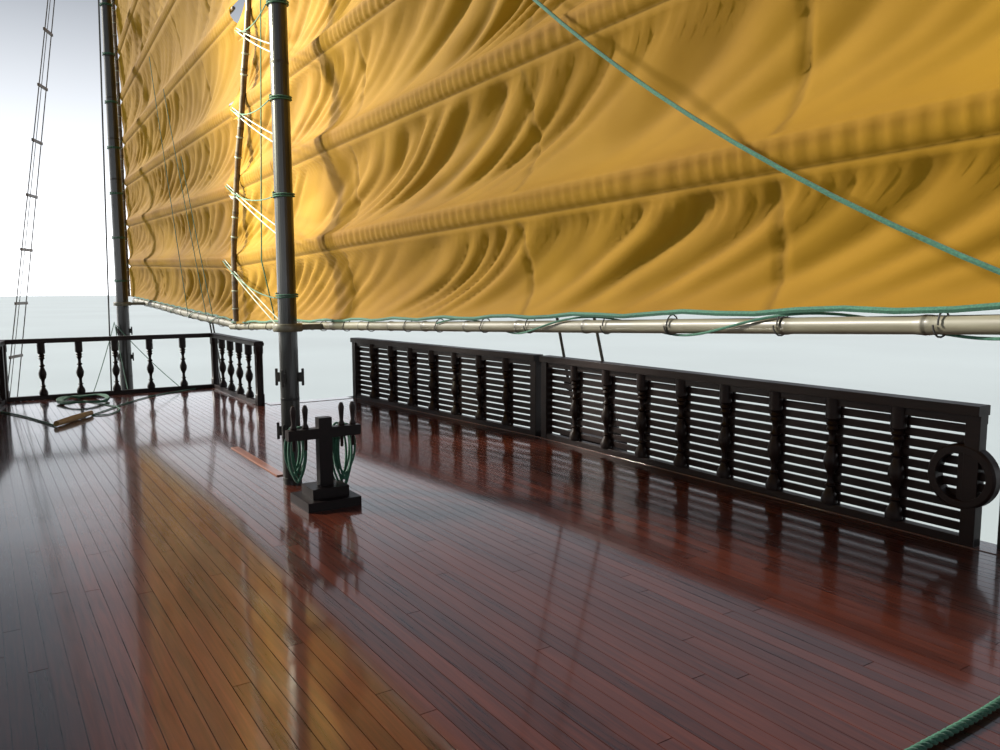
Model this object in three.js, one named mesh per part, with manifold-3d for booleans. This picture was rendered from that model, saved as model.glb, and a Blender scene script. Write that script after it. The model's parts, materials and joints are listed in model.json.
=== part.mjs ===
// Two-masted wooden junk, a cruising boat with a sundeck, two ochre batten sails and a low deckhouse.
// Millimetres. +X runs to the bow, +Y to port, +Z up.
// The origin is amidships, on the centreline, at the waterline.
import * as THREE from 'three';
import { mergeVertices } from 'three/addons/utils/BufferGeometryUtils.js';
import Module from 'manifold-3d';

const wasm = await Module();
wasm.setup();

// Driving sizes
const GAP = 0.3;                 // seat between two pieces that touch
const HULL_END = 14000;          // half of the hull's length at deck level
const DECK_Z = 1300;             // main deck above the water, amidships
const SUNDECK_Z = 3600;          // top of the sundeck above the water
const SUNDECK_THICK = 120;
const SUNDECK_UNDER = SUNDECK_Z - SUNDECK_THICK;
const RAKE_BOW = 0.35;           // forward lean of the bow head, metres a metre
const RAKE_STERN = -0.25;        // aft lean of the stern
const RAKE_LENGTH = 5000;        // the lean fades out this far from each end
const MAIN_X = 3560;             // main mast
const FORE_X = 10330;            // foremast
const RAIL_HEIGHT = 700;
const FRONT_RAIL_X = 9050;
const HOUSE_FRONT = 7100;
const HOUSE_BACK = -9000;
const HOUSE_HALF = 2000;
const WALL = 60;

// Materials, with the colours of varnish, cloth, bamboo and rope
const paint = (color, roughness, metalness = 0) =>
  new THREE.MeshStandardMaterial({ color, roughness, metalness });
const MATERIAL = {
  hull: paint(0x4a2a18, 0.45),
  deck: paint(0x5a1f14, 0.2),
  dark: paint(0x1c100c, 0.35),
  house: paint(0x6a3a20, 0.35),
  mast: paint(0x2e2825, 0.3),
  bamboo: paint(0xb49a6a, 0.5),
  darkBamboo: paint(0x4a3820, 0.5),
  sail: paint(0xb8801c, 0.85),
  rope: paint(0x241d18, 0.9),
  bronze: paint(0x9a6a34, 0.35, 0.9),
  steel: paint(0x6f7174, 0.4, 0.9),
};

// Solids and meshes
function toManifold(geometry) {
  const g = geometry.clone();
  for (const name of Object.keys(g.attributes)) if (name !== 'position') g.deleteAttribute(name);
  const merged = mergeVertices(g, 0.01);
  return new wasm.Manifold(new wasm.Mesh({
    numProp: 3,
    vertProperties: new Float32Array(merged.attributes.position.array),
    triVerts: new Uint32Array(merged.index.array),
  }));
}

function toGeometry(manifold) {
  const mesh = manifold.getMesh();
  const g = new THREE.BufferGeometry();
  g.setAttribute('position', new THREE.BufferAttribute(new Float32Array(mesh.vertProperties), 3));
  g.setIndex(new THREE.BufferAttribute(new Uint32Array(mesh.triVerts), 1));
  g.computeVertexNormals();
  return g;
}

// Radius of a many-sided bore whose flats clear a round of radius r by the seat's gap
const clearOf = (r, sides) => (r + GAP) / Math.cos(Math.PI / sides);

const join = (...geometries) => geometries.map(toManifold).reduce((sum, next) => sum.add(next));
const cut = (solid, ...tools) => tools.reduce((rest, tool) => rest.subtract(toManifold(tool)), solid);

const FINEST = 0.03;             // slivers under this are closed up
const group = new THREE.Group();
const solids = {};
function part(name, shape, material) {
  solids[name] = (shape.isBufferGeometry ? toManifold(shape) : shape).simplify(FINEST);
  const mesh = new THREE.Mesh(toGeometry(solids[name]), material);
  mesh.name = name;
  group.add(mesh);
  return mesh;
}

function box(x0, x1, y0, y1, z0, z1) {
  const g = new THREE.BoxGeometry(x1 - x0, y1 - y0, z1 - z0);
  g.translate((x0 + x1) / 2, (y0 + y1) / 2, (z0 + z1) / 2);
  return g;
}

const span = (a, b) => [Math.min(a, b), Math.max(a, b)];

// An outline in X and Y pulled up from z0 to z1
function slab(points, z0, z1) {
  const shape = new THREE.Shape(points.map(([x, y]) => new THREE.Vector2(x, y)));
  const g = new THREE.ExtrudeGeometry(shape, { depth: z1 - z0, bevelEnabled: false });
  g.translate(0, 0, z0);
  return g;
}

// A profile of [radius, height] turned about Z
function turned(profile, sides) {
  const g = new THREE.LatheGeometry(profile.map(([r, z]) => new THREE.Vector2(r, z)), sides);
  g.rotateX(Math.PI / 2);
  return g;
}

// A round spar from point a to point b, with a radius at each end
function spar(a, b, ra, rb = ra, sides = 8) {
  const from = new THREE.Vector3(...a);
  const to = new THREE.Vector3(...b);
  const g = turned([[0, 0], [ra, 0], [rb, from.distanceTo(to)], [0, from.distanceTo(to)]], sides);
  const turn = new THREE.Quaternion().setFromUnitVectors(
    new THREE.Vector3(0, 0, 1), to.clone().sub(from).normalize());
  g.applyQuaternion(turn);
  g.translate(...a);
  return g;
}

// A closed body through rings of points, all with the same count, its two ends capped
function loft(rings) {
  const count = rings[0].length;
  const positions = rings.flat(2);
  const index = [];
  for (let i = 0; i < rings.length - 1; i += 1) {
    for (let k = 0; k < count; k += 1) {
      const a = i * count + k;
      const b = i * count + (k + 1) % count;
      index.push(a, b, b + count, a, b + count, a + count);
    }
  }
  const cap = (ring, base, first) => {
    const flat = ring.map(([, y, z]) => new THREE.Vector2(y, z));
    const flip = THREE.ShapeUtils.isClockWise(flat) !== first;
    for (const [a, b, c] of THREE.ShapeUtils.triangulateShape(flat, [])) {
      index.push(...(flip ? [base + a, base + c, base + b] : [base + a, base + b, base + c]));
    }
  };
  cap(rings[0], 0, true);
  cap(rings[rings.length - 1], (rings.length - 1) * count, false);
  const g = new THREE.BufferGeometry();
  g.setAttribute('position', new THREE.BufferAttribute(new Float32Array(positions), 3));
  g.setIndex(index);
  const solid = toManifold(g);
  if (solid.volume() > 0) return g;
  g.setIndex(index.map((_, i) => index[i - (i % 3) + [0, 2, 1][i % 3]]));
  return g;
}

// Hull form: half-beam at the deck edge, underside of the hull, deck and top of the bulwark at each station
//              x      beam  under   deck  bulwark  bilge
const STATIONS = [
  [-14000, 2150, 180, 1300, 4050, 0.62],
  [-13000, 2330, -60, 1300, 3400, 0.58],
  [-10500, 2680, -620, 1300, 2520, 0.55],
  [-7000, 2950, -1050, 1300, 2110, 0.52],
  [-2000, 3100, -1250, 1300, 2020, 0.5],
  [3000, 3000, -1250, 1300, 2020, 0.52],
  [7500, 2500, -1180, 1300, 2140, 0.6],
  [10500, 1830, -900, 1480, 2420, 0.72],
  [12500, 1230, -330, 1720, 2640, 0.85],
  [14000, 720, 520, 1950, 2860, 0.95],
];
const COLUMN = { beam: 1, under: 2, deck: 3, top: 4, bilge: 5 };

// Value of one column at x, joined by a curve that doesn't overshoot its stations
function hullValue(name, x) {
  const c = COLUMN[name];
  const slope = (i) => {
    if (i <= 0 || i >= STATIONS.length - 1) return 0;
    const before = (STATIONS[i][c] - STATIONS[i - 1][c]) / (STATIONS[i][0] - STATIONS[i - 1][0]);
    const after = (STATIONS[i + 1][c] - STATIONS[i][c]) / (STATIONS[i + 1][0] - STATIONS[i][0]);
    return before * after <= 0 ? 0 : (2 * before * after) / (before + after);
  };
  const endSlope = (i) => {
    const j = i === 0 ? 1 : i - 1;
    const chord = (STATIONS[j][c] - STATIONS[i][c]) / (STATIONS[j][0] - STATIONS[i][0]);
    return 1.5 * chord - 0.5 * slope(j);
  };
  const slopeAt = (i) => (i === 0 || i === STATIONS.length - 1 ? endSlope(i) : slope(i));
  let i = STATIONS.findIndex((row) => row[0] >= x) - 1;
  i = Math.max(0, Math.min(STATIONS.length - 2, i < -1 ? STATIONS.length - 2 : i));
  const h = STATIONS[i + 1][0] - STATIONS[i][0];
  const t = Math.max(0, Math.min(1, (x - STATIONS[i][0]) / h));
  const t2 = t * t;
  const t3 = t2 * t;
  return (2 * t3 - 3 * t2 + 1) * STATIONS[i][c] + (t3 - 2 * t2 + t) * h * slopeAt(i)
    + (3 * t2 - 2 * t3) * STATIONS[i + 1][c] + (t3 - t2) * h * slopeAt(i + 1);
}

// The bow leans forward and the stern aft: a shear that grows towards the ends
function raked(x, z) {
  const reach = HULL_END - RAKE_LENGTH;
  const share = Math.min(1, Math.max(0, (Math.abs(x) - reach) / RAKE_LENGTH)) ** 2;
  return x + (x > 0 ? RAKE_BOW : RAKE_STERN) * share * (z - DECK_Z);
}

const STEPS = 26;
const RING_PITCH = (2 * HULL_END) / STEPS;
// The rings' places, drawn in to the given ends
const hullStations = (end = HULL_END) =>
  Array.from({ length: STEPS + 1 }, (_, i) => Math.max(-end, Math.min(end, -HULL_END + i * RING_PITCH)));

// A column's value on the hull's faceted surface, straight between its rings
function facetValue(name, x) {
  const i = Math.min(STEPS - 1, Math.max(0, Math.floor((x + HULL_END) / RING_PITCH)));
  const x0 = -HULL_END + i * RING_PITCH;
  const share = (x - x0) / RING_PITCH;
  return hullValue(name, x0) * (1 - share) + hullValue(name, x0 + RING_PITCH) * share;
}

const BILGE_POINTS = 8;
function hullSection(x) {
  const [beam, under, deck, bilge] = ['beam', 'under', 'deck', 'bilge'].map((n) => hullValue(n, x));
  const side = [];
  for (let k = 0; k <= BILGE_POINTS; k += 1) {
    const turn = (k / BILGE_POINTS) * (Math.PI / 2);
    side.push([beam * Math.sin(turn) ** bilge, deck - (deck - under) * Math.cos(turn)]);
  }
  const mirrored = side.slice(1).reverse().map(([y, z]) => [-y, z]);
  return [...mirrored, ...side].map(([y, z]) => [raked(x, z), y, z]);
}

const hullRings = hullStations().map(hullSection);
const hullSolid = toManifold(loft(hullRings));
const underHull = hullSolid.translate([0, 0, -GAP]);
const overHull = hullSolid.translate([0, 0, GAP]);
// Seats a piece that stands on the deck, or hangs from the hull's underside
const onDeck = (solid) => solid.subtract(overHull);
const belowHull = (solid) => solid.subtract(underHull);

const deckAt = (x) => hullValue('deck', x);

function makeHull() {
  part('hull', hullSolid, MATERIAL.hull);
  const KEEL_BOTTOM = -1450;
  const KEEL_HALF = 110;
  const profile = [[10800, -500], [10300, KEEL_BOTTOM + 250], [9300, KEEL_BOTTOM],
    [-13270, KEEL_BOTTOM], [-13700, 250]];
  const keel = slab(profile, -KEEL_HALF, KEEL_HALF);
  keel.rotateX(Math.PI / 2);
  part('keel', belowHull(toManifold(keel)), MATERIAL.hull);
}

// Bulwarks with their cap rails stand on the deck's edge, and the head and stern boards close them
const BULWARK_THICK = 80;
const BULWARK_FLARE = 0.06;
const CAP_OUT = 60;
const CAP_THICK = 60;
const BOARD_THICK = 100;
const BULWARK_END = HULL_END - BOARD_THICK;

function bulwarkSection(x, side) {
  const beam = facetValue('beam', x);
  const foot = facetValue('deck', x) + 2 * GAP;
  const top = hullValue('top', x);
  const out = (z) => beam + BULWARK_FLARE * (z - foot);
  const shelf = top - CAP_THICK;
  const outline = [
    [out(foot) - BULWARK_THICK, foot], [out(foot), foot], [out(shelf), shelf],
    [out(shelf) + CAP_OUT, shelf], [out(top) + CAP_OUT, top],
    [out(top) - BULWARK_THICK - CAP_OUT, top], [out(shelf) - BULWARK_THICK - CAP_OUT, shelf],
    [out(shelf) - BULWARK_THICK, shelf],
  ];
  return outline.map(([y, z]) => [raked(x, z), side * y, z]);
}

function endBoard(x0, x1, crown) {
  const ring = (x) => {
    const beam = facetValue('beam', x);
    const foot = facetValue('deck', x) + 2 * GAP;
    const top = hullValue('top', x);
    const edge = beam + BULWARK_FLARE * (top - foot) + CAP_OUT;
    const points = [[-beam, foot], [beam, foot], [edge, top + 60]];
    const ARCH = 8;
    for (let k = 1; k < ARCH; k += 1) {
      const y = edge * (1 - (2 * k) / ARCH);
      points.push([y, top + 60 + crown * (1 - (y / edge) ** 2)]);
    }
    points.push([-edge, top + 60]);
    return points.map(([y, z]) => [raked(x, z), y, z]);
  };
  return loft([ring(x0), ring(x1)]);
}

function makeBulwarks() {
  for (const [name, side] of [['port', 1], ['starboard', -1]]) {
    const rings = hullStations(BULWARK_END).map((x) => bulwarkSection(x, side));
    part(`bulwark_${name}`, onDeck(toManifold(loft(rings))), MATERIAL.hull);
    const RUB_HALF = 60;
    const RUB_OUT = 70;
    const RUB_DROP = 260;
    const rub = hullStations(HULL_END - 30).map((x) => {
      const z = hullValue('deck', x) - RUB_DROP;
      const turn = Math.acos(RUB_DROP / (hullValue('deck', x) - hullValue('under', x)));
      const y = hullValue('beam', x) * Math.sin(turn) ** hullValue('bilge', x);
      return [[y - 150, z - RUB_HALF], [y + RUB_OUT, z - RUB_HALF], [y + RUB_OUT, z + RUB_HALF],
        [y - 150, z + RUB_HALF]].map(([w, h]) => [raked(x, h), side * w, h]);
    });
    const sideways = hullSolid.translate([0, side * GAP, 0]);
    part(`rub_rail_${name}`, toManifold(loft(rub)).subtract(sideways), MATERIAL.dark);
  }
  part('bow_head', onDeck(toManifold(endBoard(BULWARK_END + GAP, HULL_END, 90))), MATERIAL.hull);
  part('stern_board', onDeck(toManifold(endBoard(-HULL_END, -BULWARK_END - GAP, 420))), MATERIAL.hull);
}

// Deckhouse: four walls on the main deck, with windows and doorways cut
const WALL_FOOT = DECK_Z + GAP;
const WALL_HEAD = SUNDECK_UNDER - GAP;
const WINDOW = { sill: 2150, head: 2950, width: 900, pitch: 1750, count: 8 };
const DOOR = { width: 800, height: 1850, thick: 40, clear: 6, sill: 60 };
const FRONT_DOOR_Y = 1000;       // middle of each doorway
const BACK_DOOR_Y = 0;

function doorway(x, y) {
  return box(x - 200, x + 200, y - DOOR.width / 2, y + DOOR.width / 2, WALL_FOOT + DOOR.sill,
    WALL_FOOT + DOOR.sill + DOOR.height);
}

function makeHouse() {
  for (const [name, side] of [['port', 1], ['starboard', -1]]) {
    const y = [side * HOUSE_HALF, side * (HOUSE_HALF - WALL)].sort((a, b) => a - b);
    const windows = Array.from({ length: WINDOW.count }, (_, i) => {
      const x = HOUSE_BACK + 1600 + i * WINDOW.pitch + WINDOW.width / 2;
      return box(x - WINDOW.width / 2, x + WINDOW.width / 2, y[0] - 50, y[1] + 50, WINDOW.sill, WINDOW.head);
    });
    const wall = toManifold(box(HOUSE_BACK, HOUSE_FRONT, y[0], y[1], WALL_FOOT, WALL_HEAD));
    part(`house_wall_${name}`, cut(wall, ...windows), MATERIAL.house);
  }
  const inside = HOUSE_HALF - WALL - GAP;
  const front = toManifold(box(HOUSE_FRONT - WALL, HOUSE_FRONT, -inside, inside, WALL_FOOT, WALL_HEAD));
  const frontWindows = [-1250, -300].map((y) =>
    box(HOUSE_FRONT - 200, HOUSE_FRONT + 200, y - 400, y + 400, WINDOW.sill, WINDOW.head));
  part('house_front', cut(front, doorway(HOUSE_FRONT, FRONT_DOOR_Y), ...frontWindows), MATERIAL.house);
  const back = toManifold(box(HOUSE_BACK, HOUSE_BACK + WALL, -inside, inside, WALL_FOOT, WALL_HEAD));
  const backWindows = [-1200, 1200].map((y) =>
    box(HOUSE_BACK - 200, HOUSE_BACK + 200, y - 350, y + 350, WINDOW.sill, WINDOW.head));
  part('house_back', cut(back, doorway(HOUSE_BACK, BACK_DOOR_Y), ...backWindows), MATERIAL.house);
}

// A door leaf in its doorway, on two strap hinges whose knuckles turn on the wall's outer face
const HINGE = { r: 14, strap: 160, tall: 90 };

function makeDoor(name, x, outward, yHinge, yFree) {
  const free = Math.sign(yFree - yHinge);
  const z0 = WALL_FOOT + DOOR.sill + DOOR.clear;
  const z1 = WALL_FOOT + DOOR.sill + DOOR.height - DOOR.clear;
  const [y0, y1] = span(yHinge + free * DOOR.clear, yFree - free * DOOR.clear);
  const leaf = box(...span(x, x - outward * DOOR.thick), y0, y1, z0, z1);
  const axisX = x + outward * (HINGE.r + GAP);
  const hinges = [z0 + 200, z1 - 200].flatMap((z) => [
    spar([axisX, yHinge, z - HINGE.tall / 2], [axisX, yHinge, z + HINGE.tall / 2], HINGE.r, HINGE.r, 12),
    box(...span(x - outward * 2, x + outward * HINGE.r),
      ...span(yHinge + free * DOOR.clear, yHinge + free * HINGE.strap),
      z - HINGE.tall / 2 + 10, z + HINGE.tall / 2 - 10)]);
  const window = box(x - 200, x + 200, (y0 + y1) / 2 - 220, (y0 + y1) / 2 + 220, z1 - 850, z1 - 350);
  part(name, cut(join(leaf, ...hinges), window), MATERIAL.house);
}

// Sundeck: half-width at each station, with a stairwell notched into its starboard front corner
//                       x     half
const SUNDECK_EDGE = [[9350, 1480], [7000, 2100], [4000, 2420], [-6000, 2520], [-12500, 2250]];
const STAIR = { x0: 7250, x1: 9350, y1: -960 };
const MAST_HOLE = 140;

function makeSundeck() {
  const outline = [...SUNDECK_EDGE, ...[...SUNDECK_EDGE].reverse().map(([x, w]) => [x, -w])];
  const deck = toManifold(slab(outline, SUNDECK_UNDER, SUNDECK_Z));
  const well = box(STAIR.x0, STAIR.x1 + 100, -2600, STAIR.y1, SUNDECK_UNDER - 50, SUNDECK_Z + 50);
  const hole = turned([[0, SUNDECK_UNDER - 50], [MAST_HOLE, SUNDECK_UNDER - 50],
    [MAST_HOLE, SUNDECK_Z + 50], [0, SUNDECK_Z + 50]], 16);
  hole.translate(MAIN_X, 0, 0);
  part('sundeck', cut(deck, well, hole), MATERIAL.deck);
}

const sundeckHalf = (x) => {
  const i = SUNDECK_EDGE.findIndex(([edge]) => edge <= x);
  const [xa, wa] = SUNDECK_EDGE[Math.max(0, i - 1)];
  const [xb, wb] = SUNDECK_EDGE[i < 0 ? SUNDECK_EDGE.length - 1 : i];
  return xa === xb ? wa : wa + ((wb - wa) * (x - xa)) / (xb - xa);
};

// Rails: a straight run between two points of the sundeck, as posts, a cap, a foot rail and an infill
const POST = 70;
const CAP = { wide: 110, thick: 50 };
const FOOT = { wide: 60, thick: 50 };
const BOARDS = { count: 5, from: 75, tall: 88, gap: 27, half: 12 };
const RAIL_INSET = 120;

// Places a solid made along +X from 0 to the run's length onto the run from a to b
const onRun = (solid, a, b) => solid
  .rotate([0, 0, (Math.atan2(b[1] - a[1], b[0] - a[0]) * 180) / Math.PI])
  .translate([a[0], a[1], SUNDECK_Z + GAP]);

// Half of a turned baluster, radius against height: foot, ball, vase, ball and square head
const BALUSTER = [[0, 0], [50, 0], [42, 115], [22, 150], [40, 187], [23, 225], [22, 262], [42, 350],
  [25, 420], [38, 470], [22, 512], [39, 540], [39, 660], [0, 660]];
const BALUSTER_SIDES = 8;
const BALUSTER_PITCH = 376;

function turnedRun(a, b, ends) {
  const length = Math.hypot(b[0] - a[0], b[1] - a[1]);
  const bars = Math.round(length / BALUSTER_PITCH);
  const pieces = [
    box(ends[0], length - ends[1], -CAP.wide / 2, CAP.wide / 2, RAIL_HEIGHT - CAP.thick, RAIL_HEIGHT),
    box(ends[0], length - ends[1], -FOOT.wide / 2, FOOT.wide / 2, 0, FOOT.thick)];
  for (let i = 0; i <= bars; i += 1) {
    const bar = turned(BALUSTER, BALUSTER_SIDES);
    bar.translate((length * i) / bars, 0, 0);
    pieces.push(bar);
  }
  return onRun(join(...pieces), a, b);
}

// A round board closes the rail beside the gate
const DISC = { r: 162, half: 45, z: 345, back: 45 };

function slattedRun(a, b, disc) {
  const length = Math.hypot(b[0] - a[0], b[1] - a[1]);
  const posts = Math.max(1, Math.round(length / 1500));
  const pieces = [
    box(-POST / 2, length + POST / 2, -CAP.wide / 2, CAP.wide / 2, RAIL_HEIGHT - CAP.thick, RAIL_HEIGHT),
    box(-POST / 2, length + POST / 2, -FOOT.wide / 2, FOOT.wide / 2, 0, FOOT.thick),
  ];
  for (let i = 0; i < BOARDS.count; i += 1) {
    const z = BOARDS.from + i * (BOARDS.tall + BOARDS.gap);
    pieces.push(box(0, length, -BOARDS.half, BOARDS.half, z, z + BOARDS.tall));
  }
  for (let i = 0; i <= posts; i += 1) {
    const x = (length * i) / posts;
    pieces.push(box(x - POST / 2, x + POST / 2, -POST / 2, POST / 2, 0, RAIL_HEIGHT - 10));
  }
  if (disc) {
    const wheel = turned([[0, -DISC.half], [DISC.r, -DISC.half], [DISC.r, DISC.half], [0, DISC.half]], 16);
    wheel.rotateX(Math.PI / 2);
    wheel.rotateY(0.1);
    wheel.translate(length - DISC.back, 0, DISC.z);
    pieces.push(wheel);
  }
  return onRun(join(...pieces), a, b);
}

const railAt = (x, side) => [x, side * (sundeckHalf(x) - RAIL_INSET)];
const GATE = { front: 480, back: -470 };    // gap in the starboard rail
const STERN_RAIL_X = -12300;

function makeRails() {
  const portCorner = railAt(FRONT_RAIL_X, 1);
  const stairCorner = [FRONT_RAIL_X, STAIR.y1 + 100];
  const stairBack = [STAIR.x0 - 100, STAIR.y1 + 100];
  part('front_rail', turnedRun(portCorner, stairCorner, [-40, -40])
    .add(turnedRun(stairCorner, stairBack, [30, -30])), MATERIAL.dark);
  const sternY = railAt(STERN_RAIL_X, 1)[1] - 120;
  const runs = [
    ['rail_port_fore', [FRONT_RAIL_X - 140, portCorner[1] + 24], railAt(4000, 1), false],
    ['rail_port_mid', railAt(3850, 1), railAt(-5900, 1), false],
    ['rail_port_aft', railAt(-6050, 1), railAt(STERN_RAIL_X, 1), false],
    ['rail_starboard_fore', railAt(STAIR.x0 - 160, -1), railAt(4050, -1), false],
    ['rail_starboard_mid', railAt(3900, -1), railAt(GATE.front, -1), true],
    ['rail_starboard_waist', railAt(GATE.back, -1), railAt(-5900, -1), false],
    ['rail_starboard_aft', railAt(-6050, -1), railAt(STERN_RAIL_X, -1), false],
    ['rail_stern', [STERN_RAIL_X, sternY], [STERN_RAIL_X, -sternY], false],
  ];
  for (const [name, a, b, disc] of runs) part(name, slattedRun(a, b, disc), MATERIAL.dark);
}

// Posts under the overhanging sundeck, and the stair to it
const OVERHANG_POSTS = [['overhang_post_port', 8900, 1380], ['overhang_post_starboard', 8900, -820],
  ['stern_post_port', -12200, 1750], ['stern_post_starboard', -12200, -1750]];
const STEPS_UP = { treads: 9, deep: 220, thick: 35, y0: -1740, y1: -1030, footX: 8900, headX: 7310 };

function makeOverhang() {
  const POST_HALF = 60;
  for (const [name, x, y] of OVERHANG_POSTS) {
    const post = box(x - POST_HALF, x + POST_HALF, y - POST_HALF, y + POST_HALF, DECK_Z - 50, WALL_HEAD);
    part(name, onDeck(toManifold(post)), MATERIAL.dark);
  }
  const { treads, deep, thick, y0, y1, footX, headX } = STEPS_UP;
  const headZ = SUNDECK_Z - 80;
  const stringer = (y) => {
    const g = slab([[footX - 120, DECK_Z], [footX + 120, DECK_Z], [headX + 180, headZ], [headX, headZ],
      [headX, headZ - 230]], -25, 25);
    g.rotateX(Math.PI / 2);
    g.translate(0, y, 0);
    return g;
  };
  const steps = Array.from({ length: treads }, (_, i) => {
    const share = (i + 1) / (treads + 1);
    const z = DECK_Z + (SUNDECK_Z - DECK_Z) * share;
    const x = footX + (headX + 60 - footX) * share;
    return box(x - deep / 2, x + deep / 2, y0, y1, z - thick, z);
  });
  part('stair', onDeck(join(stringer(y0), stringer(y1), ...steps)), MATERIAL.house);
}

// Masts from the main deck to their heads
const MAIN = { foot: 85, deck: 60, head: 42, top: SUNDECK_Z + 10600 };
const FORE = { foot: 100, deck: 80, head: 45, top: SUNDECK_Z + 9200 };
const MAST_SIDES = 24;
const mastRadius = (mast, z) =>
  (z < SUNDECK_Z ? mast.foot + ((mast.deck - mast.foot) * (z - DECK_Z)) / (SUNDECK_Z - DECK_Z)
    : mast.deck + ((mast.head - mast.deck) * (z - SUNDECK_Z)) / (mast.top - SUNDECK_Z));

function makeMast(name, mast, x) {
  const z0 = DECK_Z - 100;
  const body = turned([[0, z0], [mast.foot, z0], [mast.deck, SUNDECK_Z], [mast.head, mast.top - 90],
    [mast.head + 14, mast.top - 60], [mast.head, mast.top - 10], [0, mast.top]], MAST_SIDES);
  body.translate(x, 0, 0);
  part(name, onDeck(toManifold(body)), MATERIAL.mast);
}

// Sails. Each row is a spar from luff to leech, measured ahead of and behind the mast and above the sundeck,
// and where it hangs nearer its mast than the rig does, its own y:  ahead, luffZ, behind, leechZ, y
const MAIN_SPARS = [
  [2300, 925, 6290, 1270], [2298, 1514, 6310, 1725], [2114, 2139, 6340, 2300], [1861, 2725, 6340, 2904],
  [1643, 3288, 6320, 3576], [1520, 3860, 6240, 4376], [1400, 4440, 6020, 5400], [1290, 5040, 5610, 6600],
  [1180, 5670, 4970, 7950], [1080, 6340, 3940, 9650],
];
const FORE_SPARS = [
  [1100, 1094, 4360, 928], [1100, 1664, 4380, 1523], [1100, 2230, 4500, 2139], [1090, 2806, 4680, 2806],
  [1060, 3392, 4800, 3564], [930, 3970, 4720, 4450, -300], [810, 4570, 4400, 5490, -280],
  [690, 5180, 3850, 6690, -260], [560, 5810, 3100, 8050, -250],
];
// Both sails hang to starboard of their masts; the luff pole stands behind the battens' front ends
const RIGS = {
  main: { mastX: MAIN_X, mast: MAIN, y: -250, boomR: 27, poleBack: 460, spars: MAIN_SPARS },
  fore: { mastX: FORE_X, mast: FORE, y: -320, boomR: 40, poleBack: 40, spars: FORE_SPARS },
};
const CLOTH = 12;                // half thickness of the cloth's solid
const YARD_R = 50;
const BATTEN_R = 22;
const POLE_R = 24;
const LASHING_R = 12;            // holds the luff pole to each batten
const BELLY = 100;               // how far each panel bellies to starboard between its battens

function sailPoint(rig, row, share, dz = 0) {
  const [ahead, luffZ, behind, leechZ, y = rig.y] = row;
  return [rig.mastX + ahead - share * (ahead + behind), y, SUNDECK_Z + luffZ + share * (leechZ - luffZ) + dz];
}

// Share of a spar's length that stands ahead of the luff pole
const poleShare = (rig, row) => rig.poleBack / (row[0] + row[2]);

function makeCloth(name, rig) {
  const { spars } = rig;
  const ACROSS = 8;
  const ROWS = 3;
  const columns = [];
  for (let j = 0; j <= ACROSS; j += 1) {
    const shareOf = (row) => poleShare(rig, row) + (0.99 - poleShare(rig, row)) * (j / ACROSS);
    const line = [];
    for (let i = 0; i < spars.length - 1; i += 1) {
      const low = sailPoint(rig, spars[i], shareOf(spars[i]));
      const high = sailPoint(rig, spars[i + 1], shareOf(spars[i + 1]));
      for (let k = i === 0 ? 0 : 1; k <= ROWS; k += 1) {
        const t = k / ROWS;
        const belly = BELLY * Math.sin(Math.PI * t) * (0.35 + 0.65 * Math.sin((Math.PI * j) / ACROSS));
        const [x, y, z] = low.map((v, axis) => v + (high[axis] - v) * t);
        line.push([x, y - belly, z]);
      }
    }
    columns.push(line);
  }
  const rows = columns[0].length;
  const positions = [];
  for (const side of [-CLOTH, CLOTH]) {
    for (const line of columns) for (const [x, y, z] of line) positions.push(x, y + side, z);
  }
  const at = (layer, j, i) => layer * columns.length * rows + j * rows + i;
  const index = [];
  const quad = (a, b, c, d) => index.push(a, b, c, a, c, d);
  for (let j = 0; j < ACROSS; j += 1) {
    for (let i = 0; i < rows - 1; i += 1) {
      quad(at(0, j, i), at(0, j, i + 1), at(0, j + 1, i + 1), at(0, j + 1, i));
      quad(at(1, j, i), at(1, j + 1, i), at(1, j + 1, i + 1), at(1, j, i + 1));
    }
    quad(at(0, j, 0), at(0, j + 1, 0), at(1, j + 1, 0), at(1, j, 0));
    quad(at(0, j, rows - 1), at(1, j, rows - 1), at(1, j + 1, rows - 1), at(0, j + 1, rows - 1));
  }
  for (let i = 0; i < rows - 1; i += 1) {
    quad(at(0, 0, i), at(1, 0, i), at(1, 0, i + 1), at(0, 0, i + 1));
    quad(at(0, ACROSS, i), at(0, ACROSS, i + 1), at(1, ACROSS, i + 1), at(1, ACROSS, i));
  }
  const g = new THREE.BufferGeometry();
  g.setAttribute('position', new THREE.BufferAttribute(new Float32Array(positions), 3));
  g.setIndex(index);
  if (toManifold(g).volume() < 0) g.setIndex(index.map((_, i) => index[i - (i % 3) + [0, 2, 1][i % 3]]));
  const last = spars[spars.length - 1];
  const clear = [[spars[0], rig.boomR], [last, YARD_R]].map(([row, r]) =>
    spar(sailPoint(rig, row, -0.02), sailPoint(rig, row, 1.02), r + GAP, r + GAP, 10));
  part(name, cut(toManifold(g), ...clear), MATERIAL.sail);
}

// A hoop round the mast, with an arm out to the spar that it carries
function hoop({ mastX, mast, y }, z) {
  const HALF = 25;
  const inner = clearOf(mastRadius(mast, z - HALF), MAST_SIDES);
  const ring = turned([[inner, z - HALF], [inner + 30, z - HALF], [inner + 30, z + HALF], [inner, z + HALF],
    [inner, z - HALF]], MAST_SIDES);
  ring.translate(mastX, 0, 0);
  const arm = box(mastX - 22, mastX + 22, y + 5, -inner - 10, z - 22, z + 22);
  return [ring, arm];
}

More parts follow.
